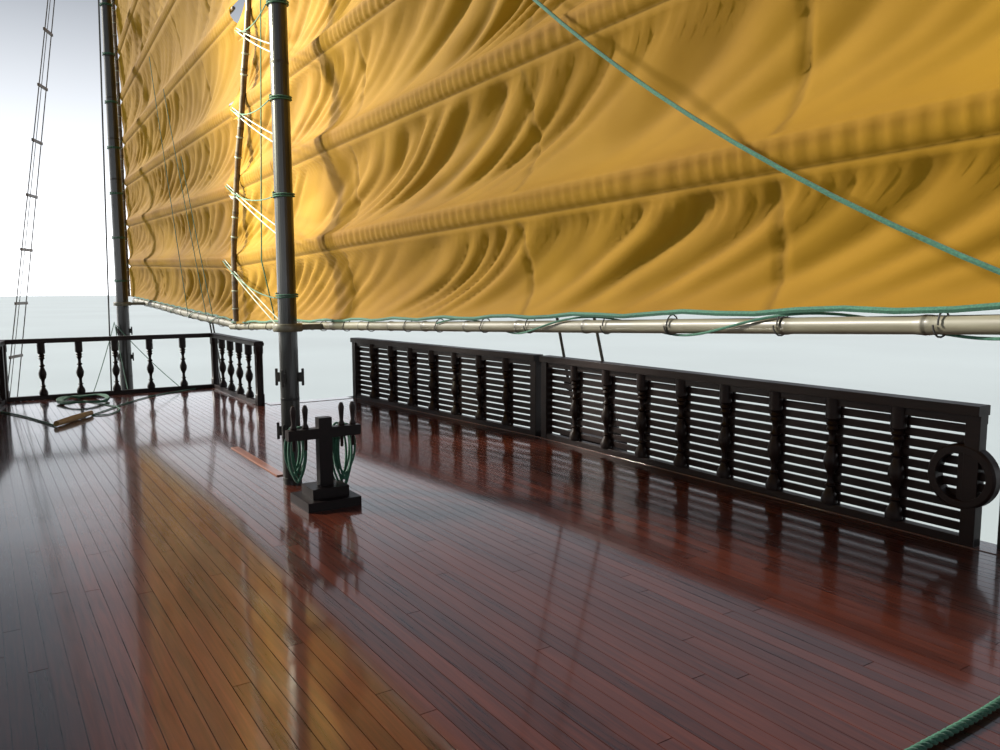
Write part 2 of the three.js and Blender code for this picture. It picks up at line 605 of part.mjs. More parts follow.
function makeSail(name, rig) {
  const { spars, boomR } = rig;
  const last = spars.length - 1;
  const spot = (i, share, dy = 0, dz = 0) => {
    const [x, y, z] = sailPoint(rig, spars[i], share, dz);
    return [x, y + dy, z];
  };
  const zAtMast = (i) => spot(i, spars[i][0] / (spars[i][0] + spars[i][2]))[2];
  makeCloth(`${name}_sail`, rig);
  part(`${name}_boom`, join(spar(spot(0, 0), spot(0, 1), boomR, boomR - 5, 10),
    ...hoop(rig, zAtMast(0))), MATERIAL.bamboo);
  part(`${name}_yard`, join(spar(spot(last, -0.01), spot(last, 1.01), YARD_R, YARD_R - 8, 10),
    ...hoop(rig, zAtMast(last))), MATERIAL.darkBamboo);
  const battenY = CLOTH + BATTEN_R + GAP;
  const poleY = battenY + BATTEN_R + POLE_R;
  const pieces = [];
  for (let i = 1; i < last; i += 1) {
    const share = poleShare(rig, spars[i]);
    pieces.push(spar(spot(i, 0, battenY), spot(i, 1, battenY), BATTEN_R, BATTEN_R - 6, 6));
    pieces.push(spar(spot(i, share, battenY), spot(i, share, poleY), LASHING_R, LASHING_R, 6));
  }
  for (let i = 0; i < last; i += 1) {
    const [foot, head] = [i === 0 ? boomR + 20 : -1, i + 1 === last ? -YARD_R - 30 : 1];
    pieces.push(spar(spot(i, poleShare(rig, spars[i]), poleY, foot),
      spot(i + 1, poleShare(rig, spars[i + 1]), poleY, head), POLE_R, POLE_R, 6));
  }
  part(`${name}_battens`, join(...pieces), MATERIAL.darkBamboo);
}

// Stays and shrouds. A pair of shrouds spreads from a collar at the masthead to a block at its foot.
// The fore pairs stand on the deck inside the bulwark, the main pairs on channels at the sundeck's edge
const ROPE_R = 12;
const COLLAR = { thick: 20, half: 70, tall: 50, spread: 35 };
const CHANNEL = { inboard: 230, outboard: 35 };
const FORE_FOOT = { y: 1600, ahead: 420, behind: -220, drop: 500, half: 45, high: 110 };
const MAIN_FOOT = { ahead: 260, behind: 260, drop: 450, out: 150, low: 110, high: 60 };

function makeShrouds(name, mastX, mast, side, foot, z, block, seat) {
  const headZ = mast.top - foot.drop;
  const headY = side * (mastRadius(mast, headZ) + COLLAR.thick / 2 + GAP);
  const ends = [[-foot.behind, -COLLAR.spread], [foot.ahead, COLLAR.spread]];
  const ropes = ends.map(([low, high]) =>
    spar([mastX + low, side * foot.y, z], [mastX + high, headY, headZ], ROPE_R, ROPE_R, 6));
  const collar = box(mastX - COLLAR.half, mastX + COLLAR.half, headY - COLLAR.thick / 2,
    headY + COLLAR.thick / 2, headZ - COLLAR.tall / 2, headZ + COLLAR.tall / 2);
  const [y0, y1] = span(side * block.y[0], side * block.y[1]);
  const base = box(mastX - foot.behind - 60, mastX + foot.ahead + 60, y0, y1, ...block.z);
  part(name, join(...ropes, collar, base).subtract(seat), MATERIAL.rope);
}

const FORESTAY_FOOT = { y: -330, z: 2950 };    // made fast to starboard of the bow's middle

function makeStays() {
  const foreDeck = deckAt(FORE_X);
  const mainFoot = { ...MAIN_FOOT, y: sundeckHalf(MAIN_X) + MAIN_FOOT.out };
  for (const [name, side] of [['port', 1], ['starboard', -1]]) {
    makeShrouds(`fore_shroud_${name}`, FORE_X, FORE, side, FORE_FOOT, foreDeck + FORE_FOOT.high - 30,
      { y: [FORE_FOOT.y - FORE_FOOT.half, FORE_FOOT.y + FORE_FOOT.half], z: [DECK_Z, foreDeck + FORE_FOOT.high] },
      overHull);
    makeShrouds(`main_shroud_${name}`, MAIN_X, MAIN, side, mainFoot, SUNDECK_Z,
      { y: [mainFoot.y - CHANNEL.inboard, mainFoot.y + CHANNEL.outboard],
        z: [SUNDECK_Z - MAIN_FOOT.low, SUNDECK_Z + MAIN_FOOT.high] },
      solids.sundeck.translate([0, side * GAP, 0]));
  }
  const foreHead = [FORE_X, 0, FORE.top - 300];
  const bowFoot = [raked(HULL_END, FORESTAY_FOOT.z) - 50, FORESTAY_FOOT.y, FORESTAY_FOOT.z];
  const stay = (name, a, b, ...seats) => {
    const rope = toManifold(spar(a, b, ROPE_R, ROPE_R, 6));
    part(name, seats.reduce((rest, seat) => rest.subtract(seat), rope), MATERIAL.rope);
  };
  stay('forestay', bowFoot, foreHead, solids.foremast.translate([GAP, 0, 0]),
    solids.bow_head.translate([0, 0, GAP]));
  stay('triatic_stay', foreHead, [MAIN_X, 0, MAIN.top - 250], solids.foremast.translate([-GAP, 0, 0]),
    solids.mainmast.translate([GAP, 0, 0]));
}

// Pin rail on its stepped block on the sundeck, behind the main mast: half length, half width, foot and head
const PIN_RAIL = { x: MAIN_X - 585, pieces: [[155, 160, GAP, 60], [95, 110, 50, 120], [30, 40, 60, 520],
  [30, 220, 400, 460]] };

function makePinRail() {
  const { x, pieces } = PIN_RAIL;
  part('pin_rail', join(...pieces.map(([long, wide, low, high]) =>
    box(x - long, x + long, -wide, wide, SUNDECK_Z + low, SUNDECK_Z + high))), MATERIAL.dark);
}

// Windlass on the foredeck: two cheeks and a barrel between them
const WINDLASS = { x: 11700, half: 420, axleR: 40, barrelR: 130, height: 480, sides: 24 };

function makeWindlass() {
  const { x, half, axleR, barrelR, height, sides } = WINDLASS;
  const z = deckAt(x) + height;
  const cheek = (y) => {
    const g = slab([[x - 200, DECK_Z], [x + 200, DECK_Z], [x + 90, z + 110], [x - 90, z + 110]], -35, 35);
    g.rotateX(Math.PI / 2);
    g.translate(0, y, 0);
    return g;
  };
  const sill = box(x - 160, x + 160, -half - 60, half + 60, DECK_Z, deckAt(x) + 130);
  const boreR = clearOf(axleR, sides);
  const bore = spar([x, -half - 200, z], [x, half + 200, z], boreR, boreR, sides);
  part('windlass_frame', onDeck(cut(join(cheek(-half), cheek(half), sill), bore)), MATERIAL.dark);
  const barrel = join(spar([x, -half - 160, z], [x, half + 160, z], axleR, axleR, sides),
    spar([x, -half + 45, z], [x, half - 45, z], barrelR, barrelR, 8),
    spar([x, half + 50, z], [x, half + 160, z], 90, 70, 10),
    spar([x, -half - 160, z], [x, -half - 50, z], 70, 90, 10));
  part('windlass_barrel', barrel, MATERIAL.house);
}

// Anchors lashed on the deck on each side of the windlass, each with a shank, a stock, two arms and a crown
const ANCHOR = { x: 12750, y: 520, lift: 130, shank: 650, stock: 260, arm: 240 };

function makeAnchors() {
  const { x, lift, shank, stock, arm } = ANCHOR;
  const z = deckAt(x) + lift;
  const stockX = x - shank + 50;
  const stockZ = deckAt(stockX) + 70;
  for (const [name, side] of [['port', 1], ['starboard', -1]]) {
    const y = side * ANCHOR.y;
    const fluke = (way) => spar([x + arm, y, z], [x + 20, y + way * arm, z - 10], 30, 16, 6);
    part(`anchor_${name}`, onDeck(join(
      spar([x - shank, y, deckAt(x - shank) + 60], [x + arm + 10, y, z], 32, 32, 8),
      spar([stockX, y - stock, stockZ], [stockX, y + stock, stockZ], 22, 22, 6),
      fluke(1), fluke(-1), box(x + arm - 60, x + arm + 50, y - 50, y + 50, DECK_Z, z + 20))), MATERIAL.steel);
  }
}

// Rudder hung on the raked stern, with its stock and tiller head. Outlines are [behind the axis, height]
const RUDDER_OFF = 190;          // axis behind the stern's face
const RUDDER = {
  blade: [[60, -1400], [-1350, -1250], [-1500, -300], [-1150, 620], [-20, 760], [60, 300]],
  head: [[-160, 1700], [110, 1700], [110, 1860], [-160, 1860]],
  foot: -1400, top: 1900, bladeHalf: 45, headHalf: 70,
};
const STOCK = { r: 62, sides: 24 };
const GUDGEON = { outer: 92, half: 40, arm: 35 };
const rudderAxisX = (z) => -HULL_END + RAKE_STERN * (z - DECK_Z) - RUDDER_OFF;

function makeRudder() {
  const plate = (points, half) => {
    const g = slab(points.map(([off, z]) => [rudderAxisX(z) + off, z]), -half, half);
    g.rotateX(Math.PI / 2);
    return g;
  };
  const stock = spar([rudderAxisX(RUDDER.foot), 0, RUDDER.foot], [rudderAxisX(RUDDER.top), 0, RUDDER.top],
    STOCK.r, STOCK.r, STOCK.sides);
  part('rudder', join(plate(RUDDER.blade, RUDDER.bladeHalf), stock, plate(RUDDER.head, RUDDER.headHalf)),
    MATERIAL.hull);
  const inner = clearOf(STOCK.r, STOCK.sides);
  const { outer, half, arm } = GUDGEON;
  for (const [name, z, carrier] of [['gudgeon_lower', 1000, 'hull'], ['gudgeon_upper', 1500, 'stern_board']]) {
    const ring = turned([[inner, -half], [outer, -half], [outer, half], [inner, half], [inner, -half]],
      STOCK.sides);
    ring.rotateY(Math.atan(RAKE_STERN));
    ring.translate(rudderAxisX(z), 0, z);
    const reach = box(rudderAxisX(z) + 78, rudderAxisX(z) + RUDDER_OFF + 60, -half, half, z - arm, z + arm);
    part(name, join(ring, reach).subtract(solids[carrier].translate([-GAP, 0, 0])), MATERIAL.bronze);
  }
}

// Propellers: each on a shaft with a strut under the hull
const SHAFT = { y: 1100, z: -800, from: -8600, strut: -11550, end: -11800, r: 35, sides: 16 };

function makeShafts() {
  for (const [name, side] of [['port', 1], ['starboard', -1]]) {
    const y = side * SHAFT.y;
    const shaft = spar([SHAFT.from, y, SHAFT.z], [SHAFT.end - 150, y, SHAFT.z], SHAFT.r, SHAFT.r, SHAFT.sides);
    const boss = spar([SHAFT.strut + 150, y, SHAFT.z], [SHAFT.end + 20, y, SHAFT.z], 65, 65, 12);
    const strut = box(SHAFT.strut - 60, SHAFT.strut + 60, y - 16, y + 16, SHAFT.z, 300);
    part(`shaft_${name}`, belowHull(join(shaft, boss, strut)), MATERIAL.bronze);
  }
}

// Blade sections from the hub out: radius, half chord and twist, each joined to the next by its hull
const BLADE = { sections: [[55, 60, 0.95], [180, 120, 0.7], [320, 135, 0.52], [395, 60, 0.45]], half: 8, count: 4,
  back: 110 };

function makePropellers() {
  const inner = clearOf(SHAFT.r, SHAFT.sides);
  const hub = turned([[inner, 0], [72, 0], [66, 220], [30, 300], [0, 310], [0, 170], [inner, 170], [inner, 0]],
    SHAFT.sides);
  hub.rotateY(-Math.PI / 2);
  for (const [name, side] of [['port', 1], ['starboard', -1]]) {
    const corners = ([r, chord, twist]) => {
      const along = Math.sin(twist) * chord;
      const across = Math.cos(twist) * chord * side;
      return [[1, 1], [1, -1], [-1, 1], [-1, -1]].map(([c, t]) =>
        [c * along + t * BLADE.half - BLADE.back, c * across, r]);
    };
    const { Manifold } = wasm;
    const blade = BLADE.sections.slice(1).map((section, i) =>
      Manifold.hull([...corners(BLADE.sections[i]), ...corners(section)])).reduce((sum, next) => sum.add(next));
    let propeller = toManifold(hub);
    for (let i = 0; i < BLADE.count; i += 1) {
      propeller = propeller.add(blade.rotate([(i * 360) / BLADE.count, 0, 0]));
    }
    part(`propeller_${name}`, propeller.translate([SHAFT.end, side * SHAFT.y, SHAFT.z]), MATERIAL.bronze);
  }
}

// Helm inside the front of the deckhouse, seen through the front windows
const HELM = { x: 6450, y: -300, z: DECK_Z + 1150, r: 330, grip: 110, axleR: 25, axleSides: 20, off: 130,
  spokes: 4 };

function makeHelm() {
  const { x, y, z, r, grip, axleR, axleSides, off } = HELM;
  const boreR = clearOf(axleR, axleSides);
  const stand = join(box(x - 110, x + 110, y - 160, y + 160, WALL_FOOT, z - 120),
    box(x - 70, x + 60, y - 90, y + 90, z - 200, z + 90));
  part('helm_stand', cut(stand, spar([x - 300, y, z], [x + 300, y, z], boreR, boreR, axleSides)), MATERIAL.house);
  const wheelX = x - off;
  const rim = new THREE.TorusGeometry(r, 20, 5, 16);
  rim.rotateY(Math.PI / 2);
  rim.translate(wheelX, y, z);
  const spokes = Array.from({ length: HELM.spokes }, (_, i) => {
    const turn = (i * Math.PI) / HELM.spokes;
    const [dy, dz] = [Math.cos(turn) * (r + grip), Math.sin(turn) * (r + grip)];
    return spar([wheelX, y - dy, z - dz], [wheelX, y + dy, z + dz], 13, 13, 4);
  });
  const hub = spar([wheelX - 40, y, z], [wheelX + 35, y, z], 60, 60, 12);
  const axle = spar([wheelX - 20, y, z], [x + 50, y, z], axleR, axleR, axleSides);
  part('helm_wheel', join(rim, ...spokes, hub, axle), MATERIAL.house);
}

makeHull();
makeBulwarks();
makeHouse();
makeDoor('door_front', HOUSE_FRONT, 1, FRONT_DOOR_Y + DOOR.width / 2, FRONT_DOOR_Y - DOOR.width / 2);
makeDoor('door_back', HOUSE_BACK, -1, BACK_DOOR_Y + DOOR.width / 2, BACK_DOOR_Y - DOOR.width / 2);
makeSundeck();
makeRails();
makeOverhang();
makeMast('foremast', FORE, FORE_X);
makeMast('mainmast', MAIN, MAIN_X);
makeSail('fore', RIGS.fore);
makeSail('main', RIGS.main);
makeStays();
makePinRail();
makeWindlass();
makeAnchors();
makeRudder();
makeShafts();
makePropellers();
makeHelm();

export default group;
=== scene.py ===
# %% [markdown]
# # A wooden junk, seen from its sundeck
# The real ship is about 28 m long: a planked hull, a long deckhouse, and over it a varnished sundeck
# where two masts carry ochre batten sails. The imported model gives its solids, in metres, with the bow
# towards +X, port towards +Y and the waterline at z = 0. This lesson dresses them.

# %% Load the imported ship
import json
import math

import bpy
import numpy as np
from mathutils import Matrix, Vector


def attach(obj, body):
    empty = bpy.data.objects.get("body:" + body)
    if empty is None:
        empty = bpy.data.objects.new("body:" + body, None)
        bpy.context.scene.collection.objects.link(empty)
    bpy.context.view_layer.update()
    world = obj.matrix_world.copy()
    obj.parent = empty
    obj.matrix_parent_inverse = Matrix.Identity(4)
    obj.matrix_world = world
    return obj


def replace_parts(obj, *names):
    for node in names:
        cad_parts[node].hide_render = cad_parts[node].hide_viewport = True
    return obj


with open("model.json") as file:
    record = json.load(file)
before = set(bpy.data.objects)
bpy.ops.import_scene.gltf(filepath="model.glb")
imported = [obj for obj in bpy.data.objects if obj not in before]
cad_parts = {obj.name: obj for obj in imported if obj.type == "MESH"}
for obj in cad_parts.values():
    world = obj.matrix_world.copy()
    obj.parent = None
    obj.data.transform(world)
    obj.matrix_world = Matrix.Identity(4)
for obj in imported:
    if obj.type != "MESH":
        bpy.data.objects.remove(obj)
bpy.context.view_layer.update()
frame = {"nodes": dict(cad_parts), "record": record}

nodes = frame["nodes"]

# %% [markdown]
# ## The camera
# The camera stands near the port rail and looks forward and to starboard. Its place was found by fitting
# the deck's seams, the rails and the masts, with the rails taken as 0.7 m high. A camera looks along its
# own -Z, so its matrix is built from three directions: right, up and back. A focal length in pixels
# becomes millimetres on a 36 mm sensor.

# %% Place the camera
EYE = Vector((-1.4543, 1.6628, 4.87))
YAW, PITCH, ROLL = 0.5785, 0.1094, -0.0031
FOCAL_PIXELS, IMAGE_WIDTH, SENSOR_WIDTH = 802, 1000, 36
NEAREST, FARTHEST = 0.1, 2000

ahead = Vector((math.cos(YAW) * math.cos(PITCH), -math.sin(YAW) * math.cos(PITCH), -math.sin(PITCH)))
level_right = Vector((-math.sin(YAW), -math.cos(YAW), 0))
level_up = level_right.cross(ahead)
right = math.cos(ROLL) * level_right + math.sin(ROLL) * level_up
up = math.cos(ROLL) * level_up - math.sin(ROLL) * level_right

camera = bpy.data.objects.new("camera", bpy.data.cameras.new("camera"))
camera.data.sensor_width = SENSOR_WIDTH
camera.data.lens = SENSOR_WIDTH * FOCAL_PIXELS / IMAGE_WIDTH
camera.data.clip_start, camera.data.clip_end = NEAREST, FARTHEST
camera.matrix_world = Matrix.Translation(EYE) @ Matrix((right, up, -ahead)).transposed().to_4x4()
bpy.context.scene.collection.objects.link(camera)
bpy.context.scene.camera = camera
print("lens", round(camera.data.lens, 2), "mm")

# %% [markdown]
# ## Floor and light
# A plain pale floor lies at the waterline. One wide sun from ahead and port rakes the folds of the
# sails as in the picture, and a pale sky fills the shadows and gives the varnish something to reflect. A
# soft lamp to port brightens the forward part of the main sail, where the picture is brightest.

# %% Lay the floor, hang the sun and paint the sky
FLOOR_HALF = 600

floor_mesh = bpy.data.meshes.new("floor")
floor_mesh.from_pydata([(x, y, 0) for x, y in ((-FLOOR_HALF, -FLOOR_HALF), (FLOOR_HALF, -FLOOR_HALF),
                                               (FLOOR_HALF, FLOOR_HALF), (-FLOOR_HALF, FLOOR_HALF))],
                       [], [(0, 1, 2, 3)])
floor = bpy.data.objects.new("floor", floor_mesh)
bpy.context.scene.collection.objects.link(floor)

SUN_FROM = Vector((0.72, 0.60, 0.50))
SKY_STOPS = ((0.0, (2.4, 2.44, 2.5, 1)), (0.14, (1.15, 1.2, 1.27, 1)), (0.33, (0.32, 0.35, 0.40, 1)),
             (0.7, (0.10, 0.12, 0.16, 1)))

SUN_ENERGY, SUN_WIDTH, SUN_COLOUR = 8.0, math.radians(7), (1.0, 0.95, 0.86)
LAMP_AT, LAMP_AIM = Vector((7.5, 6.0, 8.5)), Vector((4.7, -0.3, 6.3))
LAMP_ENERGY, LAMP_SIZE, LAMP_CONE, LAMP_COLOUR = 16000, 0.8, math.radians(30), (1.0, 0.98, 0.72)


def add_light(name, kind, energy, colour, source):
    """A light that shines from the given direction, to which its own +Z points."""
    light = bpy.data.objects.new(name, bpy.data.lights.new(name, kind))
    light.data.energy, light.data.color = energy, colour
    light.rotation_mode = "QUATERNION"
    light.rotation_quaternion = source.to_track_quat("Z", "Y")
    bpy.context.scene.collection.objects.link(light)
    return light


sun = add_light("sun", "SUN", SUN_ENERGY, SUN_COLOUR, SUN_FROM)
sun.data.angle = SUN_WIDTH
lamp = add_light("lamp", "SPOT", LAMP_ENERGY, LAMP_COLOUR, LAMP_AT - LAMP_AIM)
lamp.location = LAMP_AT
lamp.data.shadow_soft_size, lamp.data.spot_size, lamp.data.spot_blend = LAMP_SIZE, LAMP_CONE, 1.0

sky = bpy.data.worlds.new("sky")
sky.use_nodes = True
background = sky.node_tree.nodes["Background"]
background.inputs["Strength"].default_value = 1.0
direction = sky.node_tree.nodes.new("ShaderNodeTexCoord")
height = sky.node_tree.nodes.new("ShaderNodeSeparateXYZ")
fade = sky.node_tree.nodes.new("ShaderNodeValToRGB")
for _ in SKY_STOPS[2:]:
    fade.color_ramp.elements.new(0.5)
for stop, (position, colour) in zip(fade.color_ramp.elements, SKY_STOPS):
    stop.position, stop.color = position, colour
sky.node_tree.links.new(direction.outputs["Generated"], height.inputs[0])
sky.node_tree.links.new(height.outputs["Z"], fade.inputs["Fac"])
sky.node_tree.links.new(fade.outputs["Color"], background.inputs["Color"])
bpy.context.scene.world = sky
bpy.context.scene.view_settings.view_transform = "Standard"
print("sun from", tuple(round(c, 2) for c in SUN_FROM.normalized()))

# %% [markdown]
# ## Finishes
# Every finish is a small tree of shader nodes, and they differ in a few numbers only, so one class keeps
# the wiring short. Colour is picked by stretched noise, which reads as grain, and by a number called
# tone that each board of a piece may carry, so that no two boards match. On the sails the tone instead
# marks the seams and paints shade into the folds.

# %% A short way to wire a finish
class Finish:
    """One material, with short calls that add a node, join two, and mix colours."""

    def __init__(self, name, roughness=0.5, coat=0.0, coat_roughness=0.05, metallic=0.0):
        self.material = bpy.data.materials.new(name)
        self.material.use_nodes = True
        self.tree = self.material.node_tree
        self.surface = self.tree.nodes["Principled BSDF"]
        self.set(self.surface, Roughness=roughness, Metallic=metallic)
        self.set(self.surface, **{"Coat Weight": coat, "Coat Roughness": coat_roughness,
                                  "Specular IOR Level": 0.5 - 0.4 * coat})
        self.place = self.add("ShaderNodeTexCoord").outputs["Object"]

    def set(self, node, **values):
        for key, value in values.items():
            node.inputs[key].default_value = value

    def add(self, kind, inputs=None, **settings):
        node = self.tree.nodes.new("ShaderNode" + kind.removeprefix("ShaderNode"))
        for key, value in settings.items():
            setattr(node, key, value)
        for key, value in (inputs or {}).items():
            if isinstance(value, bpy.types.NodeSocket):
                self.tree.links.new(value, node.inputs[key])
            else:
                node.inputs[key].default_value = value
        return node

    def math(self, operation, a, b=0.0, clamp=False):
        return self.add("Math", {0: a, 1: b}, operation=operation, use_clamp=clamp).outputs[0]

    def stretched(self, scale):
        return self.add("Mapping", {"Vector": self.place, "Scale": scale}).outputs[0]

    def noise(self, scale, detail=4.0, vector=None, distortion=0.0):
        return self.add("TexNoise", {"Vector": vector or self.place, "Scale": scale, "Detail": detail,
                                     "Distortion": distortion}).outputs["Fac"]

    def range(self, value, low, high, to_low=0.0, to_high=1.0):
        return self.add("MapRange", {"Value": value, "From Min": low, "From Max": high,
                                     "To Min": to_low, "To Max": to_high}).outputs[0]

    def ramp(self, value, *stops):
        node = self.add("ValToRGB", {"Fac": value})
        elements = node.color_ramp.elements
        while len(elements) < len(stops):
            elements.new(0.5)
        for element, (position, colour) in zip(elements, stops):
            element.position, element.color = position, (*colour, 1)
        return node.outputs["Color"]

    def mix(self, share, a, b):
        a, b = (x if isinstance(x, bpy.types.NodeSocket) else (*x, 1) for x in (a, b))
        return self.add("Mix", {0: share, 6: a, 7: b}, data_type="RGBA").outputs[2]

    def tone(self):
        return self.add("Attribute", attribute_name="tone").outputs["Fac"]

    def bump(self, height, distance, strength):
        return self.add("Bump", {"Height": height, "Distance": distance, "Strength": strength}).outputs[0]

    def finish(self, colour, roughness=None, normal=None):
        for key, value in (("Base Color", colour), ("Roughness", roughness), ("Normal", normal)):
            if value is not None:
                self.tree.links.new(value, self.surface.inputs[key])
        return self.material


# %% Wood in all its finishes
ALONG_X, ALONG_Z = (1.2, 22, 22), (22, 22, 1.2)


def wood(name, dark, light, grain=ALONG_X, roughness=(0.3, 0.5), coat=0.0, coat_roughness=0.08,
         relief=0.0006):
    """Varnished, oiled or painted wood: grain along one axis, boards of different tone, worn patches."""
    f = Finish(name, coat=coat, coat_roughness=coat_roughness)
    streaks = f.noise(3.0, 6, f.stretched(grain), 0.6)
    patches = f.noise(1.7, 3)
    share = f.math("ADD", f.math("MULTIPLY", streaks, 0.75), f.math("MULTIPLY", f.tone(), 0.45))
    share = f.math("ADD", share, f.math("MULTIPLY", patches, 0.25), clamp=True)
    colour = f.ramp(share, (0.35, dark), (1.0, light))
    rough = f.range(patches, 0.3, 0.7, *roughness)
    return f.finish(colour, rough, f.bump(streaks, relief, 0.6))


deck_varnish = wood("deck_varnish", (0.008, 0.002, 0.002), (0.090, 0.020, 0.009), roughness=(0.3, 0.42),
                    coat=1.0, coat_roughness=0.09)
deck_varnish.node_tree.nodes["Principled BSDF"].inputs["Coat IOR"].default_value = 1.65
dark_varnish = wood("dark_varnish", (0.003, 0.0012, 0.0012), (0.014, 0.0045, 0.0035), roughness=(0.4, 0.55))
dark_varnish.node_tree.nodes["Principled BSDF"].inputs["Specular IOR Level"].default_value = 0.22
mast_paint = wood("mast_paint", (0.010, 0.010, 0.009), (0.040, 0.038, 0.032), grain=ALONG_Z, coat=0.5)
house_varnish = wood("house_varnish", (0.05, 0.015, 0.007), (0.24, 0.082, 0.034), coat=0.5)
bare_wood = wood("bare_wood", (0.16, 0.09, 0.03), (0.50, 0.33, 0.12), roughness=(0.5, 0.7))
hull_oil = wood("hull_oil", (0.022, 0.010, 0.006), (0.13, 0.058, 0.028), roughness=(0.45, 0.65))
print("materials so far", len(bpy.data.materials))


# %% Bamboo, canvas, rope, metal and the floor
def cane(name, dark, light, coat):
    """Bamboo: smooth skin with fine streaks along the cane and darker rings at its joints."""
    f = Finish(name, coat=coat, coat_roughness=0.2)
    streaks = f.noise(2.0, 5, f.stretched(ALONG_X))
    blotches = f.noise(5.0, 3)
    share = f.math("ADD", f.math("MULTIPLY", streaks, 0.6), f.math("MULTIPLY", blotches, 0.4))
    colour = f.mix(f.math("MULTIPLY", f.tone(), 0.8), f.ramp(share, (0.3, dark), (0.75, light)),
                   [0.35 * c for c in dark])
    return f.finish(colour, f.range(blotches, 0.3, 0.7, 0.35, 0.55), f.bump(streaks, 0.0005, 0.5))


THREADS, SEEN_THROUGH = 160.0, 0.28


def canvas(name, deep, bright, glow):
    """Dyed cotton: uneven dye, a fine weave, sun that shows through; tone darkens seams and paints shade in
    folds.
    """
    f = Finish(name, roughness=0.8)
    f.set(f.surface, **{"Sheen Weight": 0.04, "Specular IOR Level": 0.2})
    dye = f.noise(1.1, 5)
    threads, picks = (f.add("TexWave", {"Vector": f.place, "Scale": THREADS}, wave_type="BANDS",
                            bands_direction=way).outputs["Fac"] for way in ("X", "Z"))
    weave = f.math("MAXIMUM", threads, picks)
    colour = f.ramp(dye, (0.25, deep), (0.75, bright))
    # Tone darkens the cloth: seams and stitches drawn dark, and painted shade in the valleys of folds and
    # puckers.
    seams_and_painted_shade = f.range(f.tone(), 0.0, 1.0, 0.0, 0.75)
    colour = f.mix(seams_and_painted_shade, colour, [0.3 * c for c in deep])
    f.finish(colour, None, f.bump(weave, 0.0004, 0.35))
    through = f.add("BsdfTranslucent", {"Color": f.mix(0.5, colour, glow)})
    both = f.add("MixShader", {0: SEEN_THROUGH, 1: f.surface.outputs[0], 2: through.outputs[0]})
    f.tree.links.new(both.outputs[0], f.tree.nodes["Material Output"].inputs["Surface"])
    return f.material


def cordage(name, dark, light):
    """Rope: dark and light fibres, a little fuzzy."""
    f = Finish(name, roughness=0.85)
    f.set(f.surface, **{"Sheen Weight": 0.08})
    fibres = f.noise(180.0, 3)
    colour = f.ramp(f.math("ADD", f.math("MULTIPLY", fibres, 0.7), f.math("MULTIPLY", f.noise(6.0), 0.4)),
                    (0.3, dark), (0.8, light))
    return f.finish(colour, None, f.bump(fibres, 0.001, 0.6))


def metal(name, dark, light, roughness, metallic):
    """Painted or bare metal with dull spots."""
    f = Finish(name, metallic=metallic)
    spots = f.noise(14.0, 6)
    return f.finish(f.ramp(spots, (0.35, dark), (0.7, light)),
                    f.range(spots, 0.3, 0.7, roughness - 0.12, roughness + 0.15), f.bump(spots, 0.0008, 0.4))


pale_bamboo = cane("pale_bamboo", (0.10, 0.088, 0.055), (0.25, 0.235, 0.165), 0.08)
old_bamboo = cane("old_bamboo", (0.05, 0.032, 0.016), (0.2, 0.13, 0.07), 0.15)
ochre_canvas = canvas("ochre_canvas", (0.18, 0.082, 0.004), (0.31, 0.165, 0.007), (0.85, 0.50, 0.02))
tarred_rope = cordage("tarred_rope", (0.012, 0.012, 0.011), (0.07, 0.066, 0.06))
green_rope = cordage("green_rope", (0.010, 0.046, 0.030), (0.045, 0.165, 0.10))
white_cord = cordage("white_cord", (0.14, 0.17, 0.14), (0.40, 0.45, 0.38))
black_iron = metal("black_iron", (0.01, 0.01, 0.01), (0.05, 0.045, 0.04), 0.5, 0.6)
dull_bronze = metal("dull_bronze", (0.20, 0.11, 0.035), (0.5, 0.33, 0.13), 0.42, 1.0)

pale_floor = Finish("pale_floor", roughness=0.35)
floor.data.materials.append(pale_floor.finish(pale_floor.ramp(
    pale_floor.noise(0.05, 2), (0.3, (0.39, 0.45, 0.46)), (0.7, (0.45, 0.52, 0.53)))))

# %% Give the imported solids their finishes
SLOT_FINISH = {"hull_wood": hull_oil, "deck_wood": deck_varnish, "dark_wood": dark_varnish,
               "house_wood": house_varnish, "mast_wood": mast_paint, "bamboo": pale_bamboo,
               "dark_bamboo": old_bamboo, "sail_cloth": ochre_canvas, "rope": tarred_rope,
               "iron": black_iron, "bronze": dull_bronze}
for part in frame["record"]["subparts"]:
    solid = nodes[part["node"]]
    solid.data.materials.clear()
    solid.data.materials.append(SLOT_FINISH[part["material_slot"]])

# %% [markdown]
# ## A workbench for simple parts
# Most of a ship is boards, turned posts and round rods. A board has eight corners, a turned post is a
# profile swept round an axis, and a rod is a ring carried along a line. The bench gathers any number of
# them in one mesh. Where a piece asks for it, a bevel modifier softens the sharp edges, so that they catch
# the light.

# %% The bench
def smooth_path(points, step):
    """Points spaced about one step apart on a smooth curve through the given ones."""
    points = np.array(points, float)
    padded = np.vstack([2 * points[0] - points[1], points, 2 * points[-1] - points[-2]])
    found = []
    for i in range(len(points) - 1):
        a, b, c, d = padded[i:i + 4]
        count = max(2, int(np.linalg.norm(c - b) / step))
        for t in np.arange(count) / count:
            found.append(0.5 * (2 * b + (c - a) * t + (2 * a - 5 * b + 4 * c - d) * t ** 2
                                + (3 * b - a - 3 * c + d) * t ** 3))
    return np.array(found + [points[-1]])


def frames_along(points):
    """Two directions across the line at each of its points, turning as little as they can."""
    along = np.gradient(points, axis=0)
    along /= np.linalg.norm(along, axis=1)[:, None]
    first = np.cross(along[0], (0, 0, 1) if abs(along[0][2]) < 0.9 else (1, 0, 0))
    across = [first / np.linalg.norm(first)]
    for direction in along[1:]:
        turned = across[-1] - direction * np.dot(across[-1], direction)
        across.append(turned / np.linalg.norm(turned))
    across = np.array(across)
    return across, np.cross(along, across)


